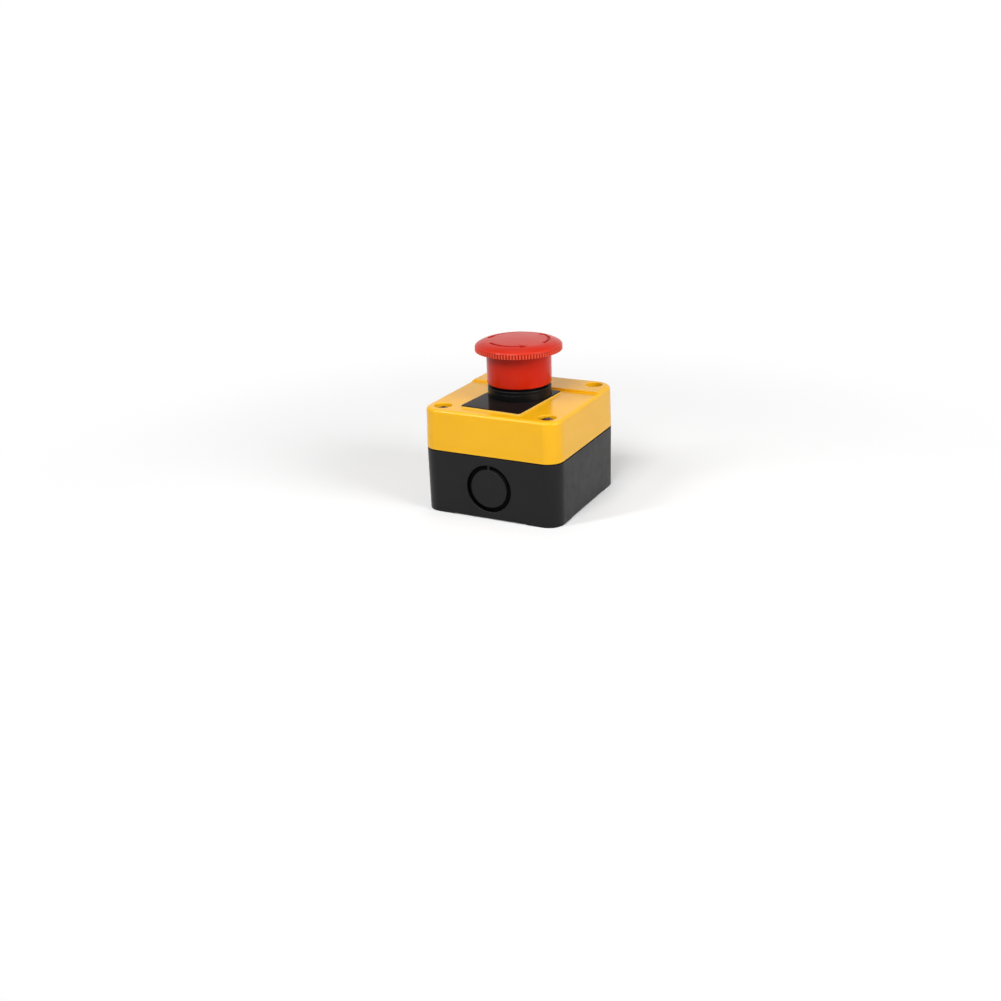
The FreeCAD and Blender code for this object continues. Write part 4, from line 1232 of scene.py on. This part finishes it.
@dataclass
class TopCover(SubAssembly):
    """The yellow cover: a drafted lid with a raised back band, screw wells and a button hole.

    The ends of its section are insets from the box's side.
    """

    node: ClassVar[str] = "top_cover"
    slot: ClassVar[Slot] = Slot.COVER
    box: BoxSizes
    draft: float = 1.2
    wall: float = 2.5
    top: float = 49.0
    top_end: float = 4.8
    ceiling: float = 46.5
    ceiling_end: float = 7.5
    edge_round: float = 1.6
    inner_round: float = 0.5
    lower_round: float = 0.2
    section_steps: int = 10
    tongue_start: float = 1.1
    tongue_end: float = 1.9
    tongue_bottom: float = 29.5
    band_front: float = 14.7
    band_rise: float = 1.0
    band_slope: float = 0.06
    band_run: float = 1.0
    band_foot_round: float = 0.15
    band_edge_round: float = 0.3
    band_steps: int = 7
    well_radius: float = 3.95
    well_floor: float = 45.0
    well_round: float = 0.35
    well_edge: float = 0.3
    well_mouth: float = 0.0375
    well_steps: int = 64
    hole_radius: float = 1.75
    button_radius: float = 11.2
    button_steps: int = 96
    key_half: float = 1.65
    key_reach: float = 12.15
    overlap: float = 1.0

    def lean(self, level: float) -> float:
        """Return how far the wall has come in at a level above the seam."""
        return (level - self.box.seam) * math.tan(math.radians(self.draft))

    def step(self) -> Array:
        """Work out the section of the band's step.

        Returns:
            Rows of the place along Y and the share of the rise.
        """
        start, rise = self.band_front, self.band_rise
        corners = np.array([(start - self.band_run, 0.0), (start, 0.0),
                            (start + self.band_slope, rise), (start + self.band_run, rise)])
        radii = np.array([self.band_foot_round, self.band_edge_round])
        return rounded_path(corners, radii, self.band_steps)[1:-1] / (1.0, rise)

    def section(self, rise: float) -> Array:
        """Return the lid's section as (inset, height) rows.

        Args:
            rise: How far its top lies above the low face; the top edge's rounding grows by as much.

        Returns:
            The rows, from the ceiling round the tongue to the top face.
        """
        seam = self.box.seam
        top = self.top + rise
        corners = np.array([
            (self.ceiling_end, self.ceiling), (self.wall + self.lean(self.ceiling), self.ceiling),
            (self.wall, seam), (self.tongue_end, seam), (self.tongue_end, self.tongue_bottom),
            (self.tongue_start, self.tongue_bottom), (self.tongue_start, seam), (0.0, seam),
            (self.lean(top), top), (self.top_end, top),
        ])
        top_round = self.edge_round + rise
        radii = np.array([self.inner_round, 0, 0, 0, 0, 0, self.lower_round, top_round])
        return rounded_path(corners, radii, self.section_steps)

    def shell(self) -> Object:
        """Make the lid from two sections carried round a rounded rectangle.

        Each point lies between the low section and the raised one, by the step's share at its place
        along Y. The top is closed by a front face, a back face and a strip between each pair of the
        step's points on the left and right sides.

        Returns:
            The lid.
        """
        places, rises = self.step().T
        box = self.box
        outline = Outline.rectangle(box.width, box.depth, box.corner_radius, side_places=places)
        half = 2 * CORNER_STEPS
        share = np.concatenate([np.ones(half), rises[::-1], np.zeros(half), rises])[:, None]
        low = outline.carry(self.section(0.0))
        high = outline.carry(self.section(self.band_rise))
        rings = low * (1 - share) + high * share
        rows, columns = rings.shape[:2]
        last = (rows - 1) * columns + np.arange(columns)
        ends = np.cumsum([half, len(places), half])
        back, left, front, right = (part.tolist() for part in np.split(last, ends))
        strips = np.stack([left[:-1], left[1:], right[-2::-1], right[:0:-1]], axis=1).tolist()
        caps = [[right[-1], *back, left[0]], [left[-1], *front, right[0]], list(range(columns))]
        return make_object("cover_shell", rings, grid_faces(rows, columns) + strips + caps)

    def well(self, name: str, spot: Span) -> Object:
        """Make a screw well: a round-floored profile with a flared mouth, turned about its axis.

        Args:
            name: Name of the tool.
            spot: Place of its axis along X and Y.

        Returns:
            The tool.
        """
        top = self.top + (self.band_rise if spot[1] > self.band_front else 0.0)
        mouth = self.well_radius + self.well_edge
        corners = np.array([
            (0.0, self.well_floor), (self.well_radius, self.well_floor),
            (self.well_radius, top - self.well_edge), (mouth, top + self.well_mouth),
        ])
        wall = rounded_path(corners, np.array([self.well_round, self.well_edge]))
        above = np.array([(mouth, top + self.overlap), (0.0, top + self.overlap)])
        rings = turned(np.concatenate([wall, above]), circle(self.well_steps))
        return place(closed_turn(name, rings), *spot)

    def button_hole(self) -> list[Object]:
        """Make the button's hole and the notch for its key.

        Returns:
            The two tools.
        """
        levels = (self.ceiling - self.overlap, self.top + self.overlap)
        hole = upright("button_hole", self.button_radius, levels, steps=self.button_steps)
        length = 2 * self.overlap + self.key_reach
        notch = block("key_notch", (2 * self.key_half, length), levels)
        return [hole, place(notch, 0.0, length / 2 - self.key_reach)]

    def build(self) -> Object:
        """Make the cover and cut what is open in it.

        Returns:
            The cover.
        """
        cover = self.shell()
        seam, over = self.box.seam, self.overlap
        posts = self.box.pins("cover_post", self.box.post_radius, seam, self.ceiling + over)
        work_on(cover, Solid.JOIN, posts)
        wells = [self.well(f"well_{n}", spot) for n, spot in enumerate(self.box.corners())]
        holes = self.box.pins("screw_hole", self.hole_radius, seam - over, self.well_floor + over)
        work_on(cover, Solid.CUT, wells + holes + self.button_hole())
        return soften(cover)


@dataclass
class CoverScrews(SubAssembly):
    """The four crowned cross-head screws at the bottom of the wells."""

    node: ClassVar[str] = "cover_screws"
    slot: ClassVar[Slot] = Slot.SCREW
    box: BoxSizes
    seat: float = 45.0
    head_radius: float = 3.4
    head_height: float = 3.1
    crown: float = 1.4
    crown_flat: float = 1.0
    crown_bow: float = 0.4
    crown_steps: int = 9
    edge_round: float = 0.18
    shank_radius: float = 1.5
    shank_length: float = 30.0
    point: float = 1.0
    slot_width: float = 1.0
    slot_length: float = 4.4
    slot_depth: float = 1.5
    slot_taper: float = 0.25
    slot_corner: float = 0.2
    slot_shade: float = 0.5
    turns: tuple[float, ...] = (28.0, 57.0, 73.0, 10.0)
    stands: tuple[float, ...] = (0.0, 0.0, 0.5, 0.0)

    def crown_profile(self) -> Array:
        """Work out the crown as one bowed line.

        Returns:
            The (radius, height) rows from its flat to the head's edge.
        """
        top = self.seat + self.head_height
        edge = (self.head_radius - self.edge_round, top - self.crown)
        share = np.linspace(0, 1, self.crown_steps)
        return bowed((self.crown_flat, top), edge, self.crown_bow, share)

    def cross(self) -> list[Object]:
        """Make the cross as two blocks that narrow towards their floor.

        Returns:
            The tools.
        """
        top = self.seat + self.head_height
        wall = np.array([(self.slot_taper / 2, top - self.slot_depth), (0.0, top + self.crown)])
        sizes = {"slot_across": (self.slot_length, self.slot_width),
                 "slot_along": (self.slot_width, self.slot_length)}
        outlines = {name: Outline.rectangle(*size, self.slot_corner, BLOCK_STEPS)
                    for name, size in sizes.items()}
        return [closed_tube(name, outline.carry(wall)) for name, outline in outlines.items()]

    def screw(self) -> Object:
        """Make one screw on the axis: a crowned head and a pointed shank, turned, with its cross.

        Returns:
            The screw.
        """
        top = self.seat + self.head_height
        tip = self.seat - self.shank_length
        below = np.array([
            (self.head_radius, top - self.crown - self.edge_round), (self.head_radius, self.seat),
            (self.shank_radius, self.seat), (self.shank_radius, tip + self.point),
            (self.shank_radius / 2, tip), (0.0, tip),
        ])
        profile = np.concatenate([[(0.0, top)], self.crown_profile(), below])
        screw = closed_turn("cover_screw_heads", turned(profile, circle(ROUND_STEPS)))
        work_on(screw, Solid.CUT, self.cross())
        return screw

    def shade_cross(self, mesh: bpy.types.Mesh) -> None:
        """Mark the places in the cross for a painted shade, by how far they lie under the crown,
        eased up to one.

        Args:
            mesh: Mesh of one screw on the axis.
        """
        points = np.empty(3 * len(mesh.vertices), dtype=np.float32)
        mesh.vertices.foreach_get("co", points)
        x, y, z = points.reshape(-1, 3).T / MM
        radius = np.hypot(x, y)
        under = np.interp(radius, *self.crown_profile().T) - z
        within = radius < self.slot_length / 2 + self.slot_corner
        # Painted shade in the cross: deeper places darker.
        keep_mark(mesh, Mark.PAINTED_SHADE, np.where(within, smooth(under / self.slot_shade), 0))

    def build(self) -> Object:
        """Make the screws as one piece, with a turned copy of one screw in each corner.

        Returns:
            The screws.
        """
        screws = soften(self.screw())
        self.shade_cross(screws.data)
        whole = bmesh.new()
        for turn, stand, (x, y) in zip(self.turns, self.stands, self.box.corners()):
            single = screws.data.copy()
            shift = Matrix.Translation(Vector((x, y, stand)) * MM)
            single.transform(shift @ Matrix.Rotation(math.radians(turn), 4, "Z"))
            whole.from_mesh(single)
            bpy.data.meshes.remove(single)
        whole.to_mesh(screws.data)
        whole.free()
        return soften(screws, even=False)


@dataclass
class LegendPlate(SubAssembly):
    """The thin bare plate under the collar, which sits a little turned."""

    node: ClassVar[str] = "legend_plate"
    slot: ClassVar[Slot] = Slot.PLATE
    width: float = 30.5
    length: float = 39.2
    back: float = 11.9
    corner_radius: float = 1.0
    corner_steps: int = 8
    side_margin: float = 3.0
    side_steps: int = 40
    low: float = 49.0
    thickness: float = 1.0
    edge: float = 0.3
    edge_share: float = 0.3
    hole_radius: float = 11.2
    turn: float = -3.5
    key_half: float = 1.65
    key_reach: float = 12.15

    def build(self) -> Object:
        """Make the plate.

        Its section is carried round a rounded rectangle on the outside and, at the same direction
        from the axis, round the hole on the inside.

        Returns:
            The plate.
        """
        side = self.length / 2 - self.side_margin
        outline = Outline.rectangle(self.width, self.length, self.corner_radius, self.corner_steps,
                                    np.linspace(-side, side, self.side_steps))
        high = self.low + self.thickness
        bevel = self.edge * self.edge_share
        section = np.array([(self.edge, high), (bevel, high - bevel),
                            (0.0, high - self.edge), (0.0, self.low)])
        outer = outline.carry(section)
        outer[:, :, 1] += self.back - self.length / 2
        direction = np.arctan2(outer[-1, :, 1], outer[-1, :, 0])
        hole = np.array([(self.hole_radius, self.low), (self.hole_radius, high)])
        plate = closed_ring("bare_plate", np.concatenate([turned(hole, direction), outer]))
        plate.data.transform(Matrix.Rotation(math.radians(self.turn), 4, "Z"))
        levels = (self.low - self.thickness, high + self.thickness)
        notch = block("plate_notch", (2 * self.key_half, self.key_reach), levels)
        work_on(plate, Solid.CUT, [place(notch, 0.0, -self.key_reach / 2)])
        return soften(plate)


@dataclass
class CollarBarrel(SubAssembly):
    """The black collar on the plate, the neck inside the skirt and the barrel through the cover."""

    node: ClassVar[str] = "bezel_barrel"
    slot: ClassVar[Slot] = Slot.COLLAR
    bore: float = 8.5
    bore_round: float = 0.2
    thread_radius: float = 11.0
    thread_round: float = 0.3
    bottom: float = 34.5
    seat: float = 50.0
    seat_round: float = 0.15
    collar_radius: float = 14.75
    collar_top: float = 54.9
    edge_round: float = 0.6
    groove_low: float = 52.9
    groove_high: float = 53.9
    groove_depth: float = 0.25
    neck_radius: float = 12.6
    neck_top: float = 66.0
    neck_round: float = 0.5
    neck_foot: float = 0.3
    gasket_inner: float = 11.6
    gasket_outer: float = 13.6
    gasket_top: float = 50.8
    relief_radius: float = 9.5
    relief_low: float = 50.45
    relief_high: float = 57.65
    key_half: float = 1.5
    key_reach: float = 12.0
    key_low: float = 46.5
    guide_half: float = 1.15
    guide_reach: float = 9.45
    guide_high: float = 53.8
    round_steps: int = 144
    overlap: float = 1.0

    def section(self) -> Array:
        """Work out the closed section of the collar and the barrel, with its soft edges.

        Returns:
            The (radius, height) rows.
        """
        groove_floor = self.collar_radius - self.groove_depth
        soft = self.groove_depth / 2
        corners = np.array([
            (self.bore, self.bottom), (self.thread_radius, self.bottom),
            (self.thread_radius, self.seat), (self.gasket_inner, self.seat),
            (self.gasket_inner, self.gasket_top), (self.gasket_outer, self.gasket_top),
            (self.gasket_outer, self.seat), (self.collar_radius, self.seat),
            (self.collar_radius, self.groove_low), (groove_floor, self.groove_low),
            (groove_floor, self.groove_high), (self.collar_radius, self.groove_high),
            (self.collar_radius, self.collar_top), (self.neck_radius, self.collar_top),
            (self.neck_radius, self.neck_top), (self.bore, self.neck_top),
            (self.bore, self.relief_high), (self.relief_radius, self.relief_high),
            (self.relief_radius, self.relief_low), (self.bore, self.relief_low),
        ])
        radii = np.array([
            self.thread_round, 0, 0, 0, 0, 0, self.seat_round, soft, soft, soft, soft,
            self.edge_round, self.neck_foot, self.neck_round, self.bore_round, 0, 0, 0,
        ])
        return rounded_path(corners, radii)

    def build(self) -> Object:
        """Turn the section about the axis, add the key and cut the guide slot.

        Returns:
            The collar with its barrel.
        """
        collar = closed_ring("collar_barrel", turned(self.section(), circle(self.round_steps)))
        depth = self.key_reach - (self.bore + self.thread_radius) / 2
        key = block("key", (2 * self.key_half, depth), (self.key_low, self.seat))
        work_on(collar, Solid.JOIN, [place(key, 0.0, depth / 2 - self.key_reach)])
        levels = (self.bottom - self.overlap, self.guide_high)
        guide = block("guide", (2 * self.guide_half, self.guide_reach), levels)
        work_on(collar, Solid.CUT, [place(guide, 0.0, self.guide_reach / 2)])
        return soften(collar)


@dataclass
class MushroomHead(SubAssembly):
    """The red head: dome with cut-in arrows, serrated rim, skirt, and hub and ribs inside.

    Rows of the profile are spaced by runs: their first place, their last place and their number.
    """

    node: ClassVar[str] = "mushroom_head"
    slot: ClassVar[Slot] = Slot.HEAD
    body: ClassVar[Body] = Body.HEAD
    top: float = 76.2
    dome_radius: float = 14.0
    dome_drop: float = 0.48
    dome_runs: tuple[Run, ...] = ((0.0, 0.0, 1), (1.5, 12.0, 8), (12.3, 14.0, 18))
    shoulder_radius: float = 19.2
    shoulder_level: float = 74.1
    shoulder_bow: float = 0.32
    shoulder_runs: tuple[Run, ...] = ((0.02, 0.34, 17), (0.42, 1.0, 8))
    rim_radius: float = 20.0
    rim_top: float = 73.2
    rim_bow: float = 0.12
    rim_run: Run = (0.2, 1.0, 5)
    rim_bottom: float = 71.1
    rim_edge: float = 0.12
    rim_inset: float = 0.9
    lip_inner: float = 18.6
    lip_round: float = 0.2
    recess_outer: float = 18.2
    recess_level: float = 72.4
    recess_round: float = 0.3
    skirt_radius: float = 14.9
    skirt_inner: float = 13.4
    skirt_bottom: float = 55.9
    skirt_round: float = 0.6
    skirt_root: float = 0.4
    skirt_hem: float = 0.2
    under_steps: int = 7
    ceiling: float = 73.4
    hub_radius: float = 8.2
    hub_bottom: float = 66.5
    socket_radius: float = 3.45
    socket_flat: float = 2.75
    socket_top: float = 71.55
    rib_count: int = 6
    rib_half_angle: float = 3.0
    rib_bottom: float = 69.4
    tooth_count: int = 90
    tooth_depth: float = 0.6
    tooth_half_angle: float = 1.43
    tooth_shade: float = 0.25
    tooth_places: tuple[float, ...] = (-2.0, -1.6, -1.43, -0.72, 0.0, 0.72, 1.43, 1.6)
    edge_highlight: float = 0.25
    arrow_count: int = 3
    arrow_radius: float = 13.9
    arrow_start: float = -131.0
    arrow_line_sweep: float = 70.0
    arrow_head_sweep: float = 15.0
    arrow_line_half: float = 0.7
    arrow_head_half: float = 2.0
    arrow_depth: float = 0.45
    arrow_edge: float = 0.2
    arrow_spread: float = 0.5

    def angles(self) -> Array:
        """Return the places round the axis in degrees, closer together at each notch's edges."""
        centres = np.arange(self.tooth_count)[:, None] * (360 / self.tooth_count)
        return (centres + np.array(self.tooth_places)).ravel()

    def dome(self, radius: Array) -> Array:
        """Return the dome's level: its top less its drop times the square of the radius's share."""
        return self.top - self.dome_drop * (radius / self.dome_radius) ** 2

    def profile(self) -> tuple[Array, Array, Array]:
        """Work out the outside from the top's middle to the skirt's inner edge.

        Returns:
            The (radius, height) rows, each row's share of the notch depth and its share of the
            painted highlight.
        """
        radius = np.concatenate([np.linspace(*run) for run in self.dome_runs])
        dome = np.stack([radius, self.dome(radius)], axis=1)
        shoulder = (self.shoulder_radius, self.shoulder_level)
        share = np.concatenate([np.linspace(*run) for run in self.shoulder_runs])
        slope = bowed(tuple(dome[-1]), shoulder, self.shoulder_bow, share)
        rim, edge = self.rim_radius, self.rim_edge
        roll = bowed(shoulder, (rim, self.rim_top), self.rim_bow, np.linspace(*self.rim_run))
        face = np.array([(rim, self.rim_top - edge), (rim, self.rim_bottom + edge),
                         (rim - edge, self.rim_bottom)])
        corners = np.array([
            (rim - self.rim_inset, self.rim_bottom), (self.lip_inner, self.rim_bottom),
            (self.recess_outer, self.recess_level), (self.skirt_radius, self.recess_level),
            (self.skirt_radius, self.skirt_bottom), (self.skirt_inner, self.skirt_bottom),
            (self.skirt_inner, self.rib_bottom),
        ])
        radii = np.array([self.lip_round, self.recess_round, self.skirt_root, self.skirt_round,
                          self.skirt_hem])
        under = rounded_path(corners, radii, self.under_steps)
        counts = [len(dome) + len(slope), len(roll), len(face), len(under)]
        notched = np.repeat([0.0, 0.0, 1.0, 0.0], counts)
        # Painted highlight: full on the teeth, fainter on the rim's upper edge.
        wear_and_highlight = np.repeat([0.0, self.edge_highlight, 1.0, 0.0], counts)
        return np.concatenate([dome, slope, roll, face, under]), notched, wear_and_highlight

    def engraving(self, radius: Array, degrees: Array) -> Array:
        """Return how far each place lies inside an arrow, in millimetres from its edge.

        The line is a band about the arrow's circle, cut off at its tail, and the head narrows
        evenly from its neck to its tip. A place's depth in either is its least distance from their
        sides.

        Args:
            radius: Radius of each place.
            degrees: Angle of each place.

        Returns:
            The distance, below nought outside the arrows.
        """
        along = np.mod(degrees - self.arrow_start, 360 / self.arrow_count)
        arc = math.radians(1) * self.arrow_radius
        aside = np.abs(radius - self.arrow_radius)
        in_head = along - self.arrow_line_sweep
        ends = np.minimum(along, self.arrow_head_sweep / 2 - in_head) * arc
        line = np.minimum(self.arrow_line_half - aside, ends)
        half = self.arrow_head_half * (1 - in_head / self.arrow_head_sweep)
        head = np.minimum(half - aside, in_head * arc)
        return np.maximum(line, head)

    def outside(self, degrees: Array) -> tuple[Array, Array, dict[Mark, Array]]:
        """Work out the outside on a grid of profile rows and angles.

        The rim's radius is lessened at each notch by a depth that falls evenly to nought at the
        notch's edge. The teeth between the notches, and more faintly the rim's upper edge, are
        marked for a painted highlight. The dome is lowered to the arrows' floor by the engraving's
        share, and the arrows, a little past their edges, and the notches are marked for a painted
        shade.

        Args:
            degrees: Angle of each column.

        Returns:
            The radius and the level of each place, and the marks for each place.
        """
        rows, notched, wear_and_highlight = self.profile()
        near = 1 - off_centre(degrees, self.tooth_count) / self.tooth_half_angle
        notch = notched[:, None] * np.clip(near, 0, 1)
        radius = rows[:, :1] - self.tooth_depth * notch
        level = np.broadcast_to(rows[:, 1:], radius.shape).copy()
        inside = self.engraving(radius, degrees)
        inside[level < self.rim_top] = -self.arrow_edge
        floor = self.dome(np.array(self.arrow_radius)) - self.arrow_depth
        level -= np.maximum(level - floor, 0) * smooth(inside / self.arrow_edge)
        # Painted shade: the arrows, spread a little past their edges, and a share in the notches.
        arrows = smooth(self.arrow_spread + inside / self.arrow_edge)
        marks = {Mark.PAINTED_SHADE: np.maximum(arrows, self.tooth_shade * notch),
                 Mark.PAINTED_HIGHLIGHT: wear_and_highlight[:, None] - notch}
        return radius, level, marks

    def inside(self, degrees: Array) -> tuple[Array, Array]:
        """Work out the hollow on the same angles, from the skirt's ceiling to the socket's middle.

        The ceiling comes down to the ribs' level within each rib's angle, and the socket's radius
        is the lesser of its circle and its two flats.

        Args:
            degrees: Angle of each column.

        Returns:
            The radius and the level of each place.
        """
        in_rib = off_centre(degrees, self.rib_count) < self.rib_half_angle
        ceiling = np.where(in_rib, self.rib_bottom, self.ceiling)
        flats = self.socket_flat / np.maximum(np.abs(np.sin(np.radians(degrees))), NO_SINE)
        socket = np.minimum(self.socket_radius, flats)
        hub = self.hub_radius
        radii = (self.skirt_inner, hub, hub, hub, socket, socket, 0.0)
        levels = (ceiling, ceiling, self.rib_bottom, self.hub_bottom, self.hub_bottom,
                  self.socket_top, self.socket_top)
        radius = np.stack([np.broadcast_to(row, degrees.shape) for row in radii])
        return radius, np.stack([np.broadcast_to(row, degrees.shape) for row in levels])

    def build(self) -> Object:
        """Make the head from its outside and its hollow, on one grid of rows and angles.

        Returns:
            The head.
        """
        degrees = self.angles()
        outer_radius, outer_level, marks = self.outside(degrees)
        inner_radius, inner_level = self.inside(degrees)
        radius = np.concatenate([outer_radius, inner_radius])
        level = np.concatenate([outer_level, inner_level])
        unmarked = np.zeros_like(inner_radius)
        marks = {mark: np.concatenate([values, unmarked]) for mark, values in marks.items()}
        angle = np.radians(degrees)
        points = np.stack([radius * np.cos(angle), radius * np.sin(angle), level], axis=2)
        return soften(closed_turn("red_head", points, marks), even=False)


@dataclass
class InnerWorks:
    """The pieces inside the box, which keep their solids and get the finishes of their slots.

    Attributes:
        replaced: Nodes that new pieces stand for.
    """

    replaced: tuple[str, ...]

    def dress(self, palette: Palette) -> None:
        """Dress each node that no new piece stands for.

        Args:
            palette: Materials by slot.
        """
        slots = {row["node"]: Slot(row["material_slot"]) for row in frame["record"]["subparts"]}
        for name, node in frame["nodes"].items():
            if name not in self.replaced:
                palette.dress(node, slots[name])
                log.info("%s: %s", name, slots[name].value)


# Studio


@dataclass(frozen=True)
class Lamp:
    """A soft lamp that faces the middle of the box.

    Attributes:
        name: Name of the lamp.
        place: Where it hangs.
        size: Width and height of its face.
        watts: Its strength.
        mirrored: Whether glossy surfaces show it.
    """

    name: str
    place: Triple
    size: Span
    watts: float
    mirrored: bool = True


@dataclass
class Studio:
    """The pale floor, the soft lights and the camera.

    Attributes:
        azimuth: Camera's angle round the axis, from the front towards the right.
        elevation: Camera's angle above the level.
        roll: Camera's lean about its own line of sight.
        place: Camera's place.
        focal_pixels: Focal length in pixels of the picture.
        picture: Width of the picture in pixels.
        sensor: Width of the camera's sensor.
        sight: Nearest and furthest distance that the camera sees.
        floor_half: Half the floor's side.
        floor_points: Points along the floor's side.
        floor_grey: Grey of the floor where it is seen.
        floor_glow: Extra brightness of the floor where it is seen.
        floor_bounce: Grey of the floor as a source of light.
        floor_fade: Distances from the axis between which the floor turns white.
        ambient: Strength of the surroundings as a light.
        bright_side: Direction in which the mirrored surroundings are brightest.
        bright_span: Shares of that direction between which they brighten.
        bright: Strength of the mirrored surroundings on that side.
        dim: Strength of the mirrored surroundings on the other side.
        target: Place that the lamps face.
        lamps: The soft lamps.
    """

    azimuth: float = 27.772
    elevation: float = 21.339
    roll: float = -2.016
    place: Triple = (238.864, -476.540, 205.528)
    focal_pixels: float = 1196.83
    picture: float = 1001.0
    sensor: float = 36.0
    sight: Span = (10.0, 20000.0)
    floor_half: float = 3000.0
    floor_points: int = 9
    floor_grey: float = 0.8
    floor_glow: float = 0.15
    floor_bounce: float = 0.5
    floor_fade: Span = (110.0, 300.0)
    ambient: float = 0.2
    bright_side: Triple = (0.3, 0.7, 0.65)
    bright_span: Span = (-0.9, 0.35)
    bright: float = 0.84
    dim: float = 0.25
    target: Triple = (0.0, 0.0, 40.0)
    lamps: tuple[Lamp, ...] = (
        Lamp("left_box", (-440.0, -580.0, 700.0), (120.0, 400.0), 2.85),
        Lamp("front_box", (50.0, -680.0, 730.0), (400.0, 400.0), 5.2),
        Lamp("right_box", (760.0, -120.0, 420.0), (420.0, 420.0), 4.55),
        Lamp("crown_box", (-100.0, 200.0, 900.0), (360.0, 360.0), 0.5),
        Lamp("back_fill", (-260.0, 780.0, 170.0), (480.0, 280.0), 2.0, mirrored=False),
    )

    def floor(self) -> None:
        """Make the floor: one flat grid, as white as the background where no shadow falls."""
        side = np.linspace(-self.floor_half, self.floor_half, self.floor_points)
        x, y = np.meshgrid(side, side)
        index = np.arange(x.size).reshape(x.shape)
        quads = np.stack([index[:-1, :-1], index[:-1, 1:], index[1:, 1:], index[1:, :-1]], axis=2)
        points = np.stack([x, y, np.zeros_like(x)], axis=2)
        floor = make_object("floor", points, quads.reshape(-1, 4).tolist())
        floor.data.materials.append(self.floor_material())

    def floor_material(self) -> bpy.types.Material:
        """Make the floor's finish.

        Seen or mirrored, it is lit and lightened near the part, so that the shadow shows, and it
        passes into the white of the background further out. As a source of light it is plain grey.

        Returns:
            The material.
        """
        material = bpy.data.materials.new("pale_floor")
        graph = Graph(material)
        greys = ((grey, grey, grey, 1.0) for grey in (self.floor_grey, self.floor_bounce))
        lit, plain = (graph.node("BsdfDiffuse", {"Color": grey}).outputs["BSDF"] for grey in greys)
        glow = graph.node("Emission", {"Strength": self.floor_glow}).outputs["Emission"]
        near = graph.node("AddShader", {0: lit, 1: glow}).outputs["Shader"]
        white = graph.node("Emission").outputs["Emission"]
        distance = graph.length(graph.node("TexCoord").outputs["Object"])
        start, end = self.floor_fade
        fade = graph.ranged(distance, (start * MM, end * MM), ease=Ease.SMOOTH)
        shown = graph.mix(graph.seen(), plain, graph.mix(fade, near, white))
        graph.node("OutputMaterial", {"Surface": shown})
        return material

    def world(self) -> None:
        """Make the surroundings: soft grey as a light, white where seen, mirrored as a lit room.

        The mirrored room is brightest behind and above the part and falls off to a grey towards the
        front, by the share of a direction that points backwards.
        """
        world = bpy.data.worlds.new("studio")
        bpy.context.scene.world = world
        graph = Graph(world)
        soft = graph.node("Background", {"Strength": self.ambient}).outputs["Background"]
        direction = graph.node("TexCoord").outputs["Generated"]
        inputs = {0: direction, 1: self.bright_side}
        along = graph.node("VectorMath", inputs, operation="DOT_PRODUCT").outputs["Value"]
        falloff = graph.ranged(along, self.bright_span, (self.dim, self.bright), Ease.SMOOTH)
        camera_ray = graph.node("LightPath").outputs["Is Camera Ray"]
        strength = graph.maths(Maths.LARGER, falloff, camera_ray)
        inputs = {"Color": (1.0, 1.0, 1.0, 1.0), "Strength": strength}
        room = graph.node("Background", inputs).outputs["Background"]
        graph.node("OutputWorld", {"Surface": graph.mix(graph.seen(), soft, room)})

    def lights(self) -> None:
        """Hang each soft lamp at its place and turn it to the middle of the box."""
        target = Vector(self.target) * MM
        for lamp in self.lamps:
            light = bpy.data.lights.new(lamp.name, "AREA")
            light.shape = "RECTANGLE"
            light.size, light.size_y = np.multiply(lamp.size, MM)
            light.energy = lamp.watts
            hung = bpy.data.objects.new(lamp.name, light)
            hung.location = Vector(lamp.place) * MM
            hung.rotation_euler = (target - hung.location).to_track_quat("-Z", "Y").to_euler()
            hung.visible_camera = False
            hung.visible_glossy = lamp.mirrored
            bpy.context.scene.collection.objects.link(hung)

    def camera(self) -> None:
        """Set the camera from its two angles, its lean, its place and its focal length.

        The angles give the line of sight and the level line across it. Both axes of the picture
        are then turned about the line of sight by the lean.
        """
        turn, rise, lean = np.radians((self.azimuth, self.elevation, self.roll)).tolist()
        away = math.cos(rise)
        back = Vector((math.sin(turn) * away, -math.cos(turn) * away, math.sin(rise)))
        right = Vector((math.cos(turn), math.sin(turn), 0.0))
        up = back.cross(right)
        across = math.cos(lean) * right + math.sin(lean) * up
        upward = math.cos(lean) * up - math.sin(lean) * right
        lens = bpy.data.cameras.new("camera")
        lens.sensor_width = self.sensor
        lens.lens = self.focal_pixels * self.sensor / self.picture
        lens.clip_start, lens.clip_end = np.multiply(self.sight, MM)
        eye = bpy.data.objects.new("camera", lens)
        rotation = Matrix((across, upward, back)).transposed().to_4x4()
        eye.matrix_world = Matrix.Translation(Vector(self.place) * MM) @ rotation
        bpy.context.scene.collection.objects.link(eye)
        bpy.context.scene.camera = eye

    def build(self) -> None:
        """Set up the whole studio."""
        self.floor()
        self.world()
        self.lights()
        self.camera()
        bpy.context.scene.view_settings.view_transform = "Standard"
        log.info("studio: %d lamps", len(self.lamps))


def main() -> None:
    """Build and dress every sub-assembly in order, then set up the studio."""
    palette = Palette()
    box = BoxSizes()
    parts = (BaseBox(box), TopCover(box), CoverScrews(box), LegendPlate(), CollarBarrel(),
             MushroomHead())
    for part in parts:
        log.info("building %s", type(part).__name__)
        part.dress(part.build(), palette)
    InnerWorks(tuple(part.node for part in parts)).dress(palette)
    Studio().build()


if __name__ == "__main__":
    main()
